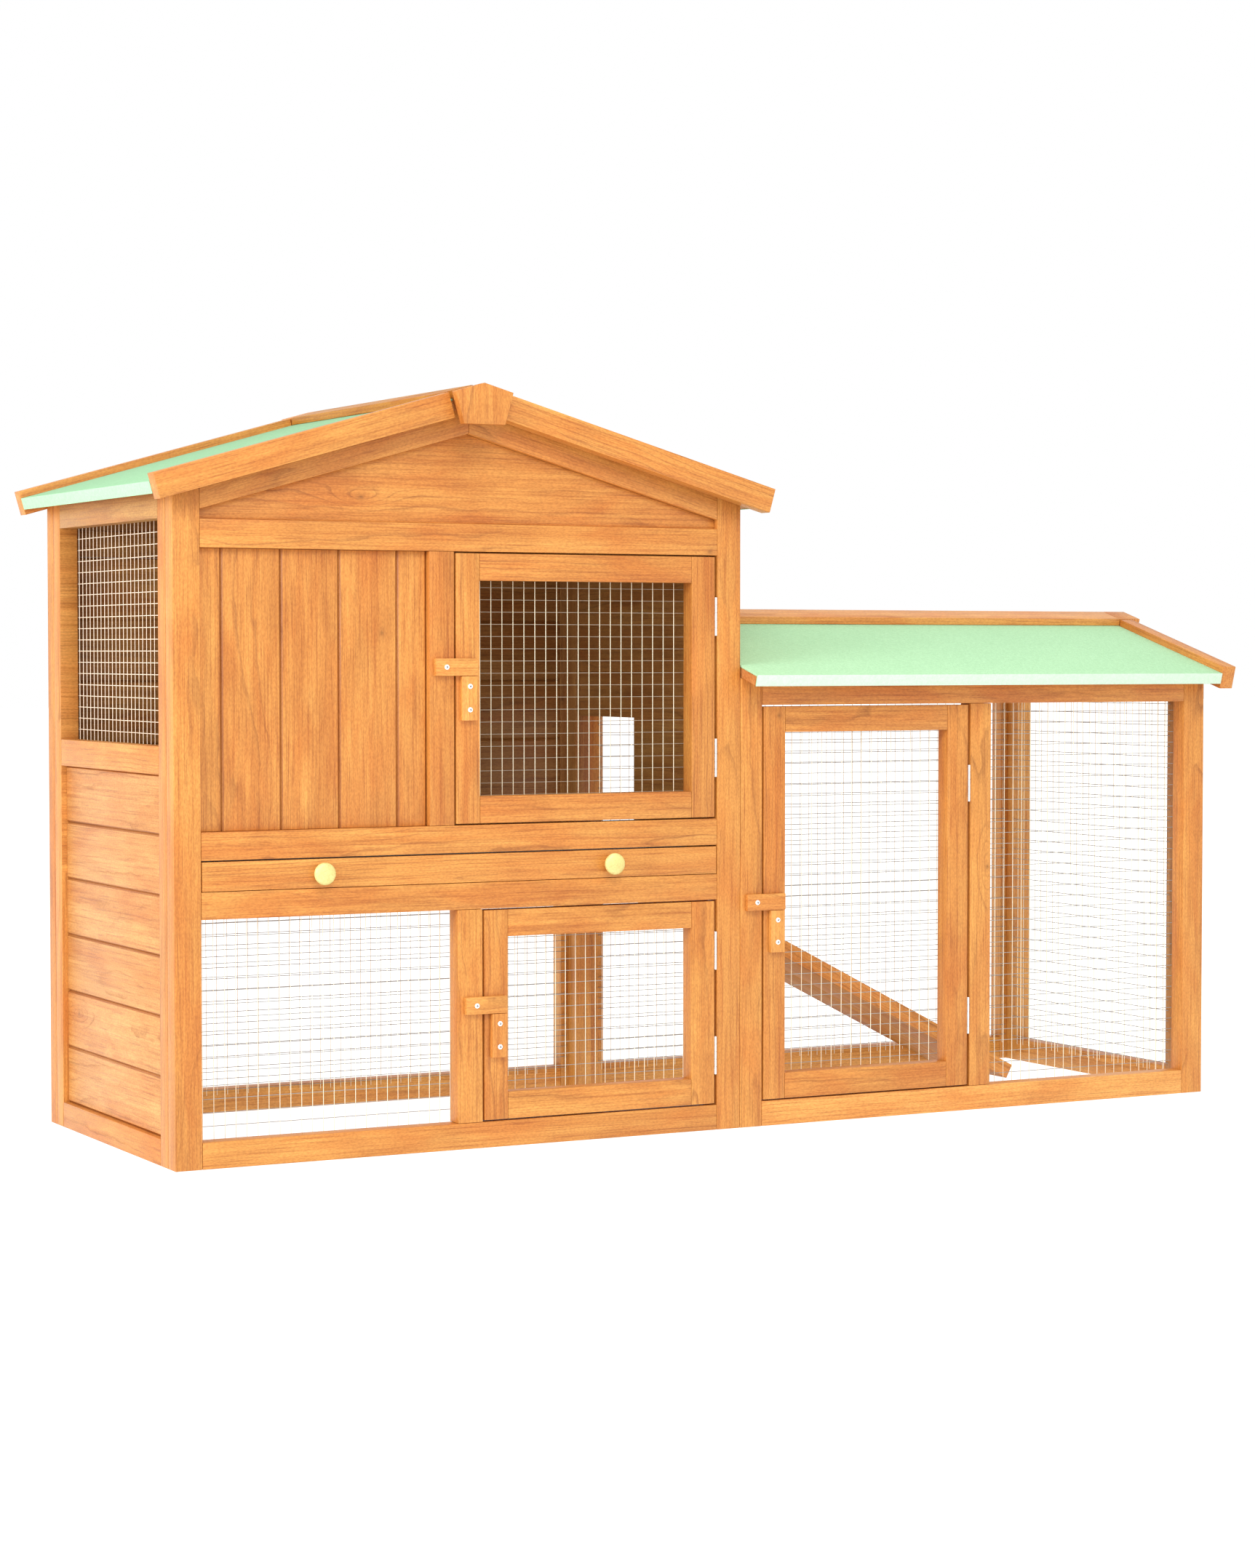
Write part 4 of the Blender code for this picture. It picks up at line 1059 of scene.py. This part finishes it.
slab_y = (BARGE_Y + GAP, DEPTH - BARGE_Y - GAP)
roof_slab("roof_left", HOUSE, HOUSE_EAVE_X, *slab_y, Y, UP_LEFT, "house_left_roof")
roof_slab("roof_right", HOUSE, HOUSE_EAVE_X, *slab_y, Y, UP_RIGHT, "house_right_roof", True)
slab_x = (HOUSE_W + 0.0015, TOTAL_W - GAP)
roof_slab("run_roof_front", RUN, RUN_EAVE_Y, *slab_x, X, UP_FRONT, "run_front_roof")
roof_slab("run_roof_back", RUN, RUN_EAVE_Y, *slab_x, X, UP_BACK, "run_back_roof", True)

BARGE_LIFT = SLAB_T + BARGE_RISE - BARGE_H
CAP_LIFT = SLAB_T + GAP


def barges(prefix, roof, tip, inner, outward, ways, cads, plate=None):
    """Two barge boards and the key between their upper ends.

    With plate, the key is a plate of that thickness on a narrower core.
    """
    axis, middle, wall_top = roof
    outline = slope_outline(wall_top, tip, middle - KEY_TOP - BARGE_STOP, BARGE_LIFT, BARGE_H)
    low, high = sorted((inner, inner + outward * BARGE_T))
    timber(prefix + "_barge_a", axis, outline, low, high, ways[0], across=ways[2], cad=cads[0])
    timber(prefix + "_barge_b", axis, flip(outline, middle), low, high, ways[1],
           across=ways[3], cad=cads[1])
    top = wall_top + SLOPE * middle + (CAP_LIFT + CAP_T) / COS
    side = top - SLOPE * KEY_TOP
    foot = side - KEY_H
    key = [(middle - KEY_LOW, foot), (middle + KEY_LOW, foot), (middle + KEY_TOP, side),
           (middle, top), (middle - KEY_TOP, side)]
    rear = inner if plate is None else inner + outward * (BARGE_T + KEY_OUT - plate)
    low, high = sorted((rear, inner + outward * (BARGE_T + KEY_OUT)))
    wide = X if axis == "Y" else Y
    timber(prefix + "_key", axis, key, low, high, Z, across=wide, cad=cads[2])
    if plate is not None:
        core = [(middle - CORE_LOW, foot + 0.009), (middle + CORE_LOW, foot + 0.009),
                (middle + CORE_TOP, side - 0.004), (middle, top - 0.010),
                (middle - CORE_TOP, side - 0.004)]
        low, high = sorted((inner, rear - outward * PLAY))
        timber(prefix + "_key_core", axis, core, low, high, Z, across=wide)


house_ways = (UP_LEFT, UP_RIGHT, Z - X * SLOPE, Z + X * SLOPE)
barges("front", HOUSE, BARGE_TIP_X, BARGE_Y, -1, house_ways,
       ("house_front_left_barge", "house_front_right_barge", "house_front_key"),
       plate=KEY_PLATE)
barges("back", HOUSE, BARGE_TIP_X, DEPTH - BARGE_Y, 1, house_ways,
       ("house_back_barge", None, None))
barges("run", RUN, RUN_BARGE_TIP_Y, TOTAL_W, 1,
       (UP_FRONT, UP_BACK, Z - Y * SLOPE, Z + Y * SLOPE), ("run_barge", None, None))


def ridge_cap(prefix, roof, low, high, along, ways, material):
    axis, middle, wall_top = roof
    base = wall_top + SLOPE * middle + CAP_LIFT / COS
    drop = SLOPE * CAP_HALF
    thick = CAP_T / COS
    left = [(middle - CAP_HALF, base - drop), (middle - PLAY, base),
            (middle - PLAY, base + thick), (middle - CAP_HALF, base - drop + thick)]
    timber(prefix + "_cap_a", axis, left, low, high, along, across=ways[0],
           material=material, cad=prefix + "_ridge_cap")
    timber(prefix + "_cap_b", axis, flip(left, middle), low, high, along, across=ways[1],
           material=material)


# The house's cap gets a darker copy of the wood: painted shade.
ridge_cap("house", HOUSE, *slab_y, Y, (UP_LEFT, UP_RIGHT), RIDGE_SHADE)
# The run's cap gets a lighter copy of the wood: painted light.
ridge_cap("run", RUN, *slab_x, X, (UP_FRONT, UP_BACK), LIT_WOOD)

# Faces of the house's boards that look into the upper room get a darker copy of the wood: painted
# shade.
# The uprights run past its floor, so they are cut there first.
ROOM_LOW = Vector((SIDE_T - 0.001, FRAME_T - 0.0005, TRAY_Z)) + HOME
ROOM_HIGH = Vector((HOUSE_W - 0.001, DEPTH - 0.001, CAD_BOX[1][2])) + HOME
ROOM_MIDDLE = Vector((MID_X, MID_Y, 0.60)) + HOME
for name in ("post_front_left", "post_front_right", "post_back_left", "post_back_right",
             "stile_left_front", "stile_left_back", "stile_right_front", "stile_right_back"):
    mesh = bpy.data.objects[name].data
    builder = bmesh.new()
    builder.from_mesh(mesh)
    bmesh.ops.bisect_plane(builder, geom=builder.verts[:] + builder.edges[:] + builder.faces[:],
                           plane_co=(0, 0, ROOM_LOW.z), plane_no=Z)
    builder.to_mesh(mesh)
    builder.free()


def looks_in(polygon):
    """Whether a face lies in the upper room and looks to its middle."""
    at = polygon.center
    within = all(ROOM_LOW[i] < at[i] < ROOM_HIGH[i] for i in range(3))
    return within and polygon.normal.dot((ROOM_MIDDLE - at).normalized()) > 0.25


for thing in bpy.data.objects:
    if thing.type == "MESH" and {HONEY, SLAT_SHEEN, EAVE_SHADOW} & set(thing.data.materials):
        repaint(thing, BACK_INNER_SHADE if thing.name.startswith("back_plank") else INNER_SHADE, looks_in)

# The window side of the back stile on the left was cut across its grain.
repaint(bpy.data.objects["stile_left_back"], CROSS,
        lambda p: p.normal.y < -0.9 and p.center.z > ROOM_LOW.z)

# Inward faces of the posts and rails at the back get a paler, yellower copy of the wood: painted
# light in their shade, but not in the room.
for name in ("post_back_right", "stile_right_back", "run_post_back_left", "run_post_back_right",
             "run_stile_back", "rail_back_base", "run_rail_back_base", "run_rail_end_base"):
    height = ROOM_LOW.z if name.startswith(("post", "stile")) else math.inf
    repaint(bpy.data.objects[name], SHADED,
            lambda p: p.center.z <= height and min(p.normal.x, p.normal.y) < -0.5)

# ---------- floor and light
FLOOR_GLOW = 1.08                    # white, with only a faint shadow left on it
builder = bmesh.new()
bmesh.ops.create_grid(builder, x_segments=1, y_segments=1, size=30)
mesh = bpy.data.meshes.new("floor")
builder.to_mesh(mesh)
builder.free()
floor = link("floor", mesh)
floor.location = (0, 0, -0.0005)
n = Nodes("floor")
for socket, value in (("Base Color", (0.20, 0.20, 0.20, 1)), ("Roughness", 0.9),
                      ("Specular IOR Level", 0.0), ("Emission Color", (1, 1, 1, 1)),
                      ("Emission Strength", FLOOR_GLOW)):
    n.look(socket, value)
mesh.materials.append(n.material)

world = bpy.data.worlds.new("studio")
world.use_nodes = True
world.node_tree.nodes["Background"].inputs["Color"].default_value = (1, 1, 1, 1)
world.node_tree.nodes["Background"].inputs["Strength"].default_value = 1.0
bpy.context.scene.world = world


def area_light(name, location, target, size, power, colour):
    data = bpy.data.lights.new(name, "AREA")
    data.color = colour
    data.shape = "DISK"
    data.size = size
    data.energy = power
    lamp = link(name, data)
    lamp.location = location
    lamp.rotation_euler = (Vector(target) - Vector(location)).to_track_quat("-Z", "Y").to_euler()


area_light("left", (-4.2, -1.0, 1.6), (0, 0, 0.45), 2.4, 104, (0.98, 1.03, 1.16))
area_light("top_front", (-1.2, -3.4, 3.4), (0, 0, 0.4), 2.0, 78, (1.0, 1.0, 1.0))
bpy.context.scene.view_settings.view_transform = "Standard"

# ---------- camera
LENS_MM, SENSOR_MM, SHIFT_Y = 75.0, 36.0, -0.0014
CAMERA_AT = (-1.2968, -3.5543, 0.5993)
CAMERA_DOWN, CAMERA_RIGHT = 2.27, 27.96    # degrees from level and from the y axis

camera_data = bpy.data.cameras.new("camera")
camera_data.lens = LENS_MM
camera_data.sensor_width = SENSOR_MM
camera_data.shift_y = SHIFT_Y
camera_data.clip_end = 100
camera = link("camera", camera_data)
camera.location = Vector(CAMERA_AT) + HOME
camera.rotation_euler = (math.radians(90 - CAMERA_DOWN), 0, math.radians(-CAMERA_RIGHT))
bpy.context.scene.camera = camera
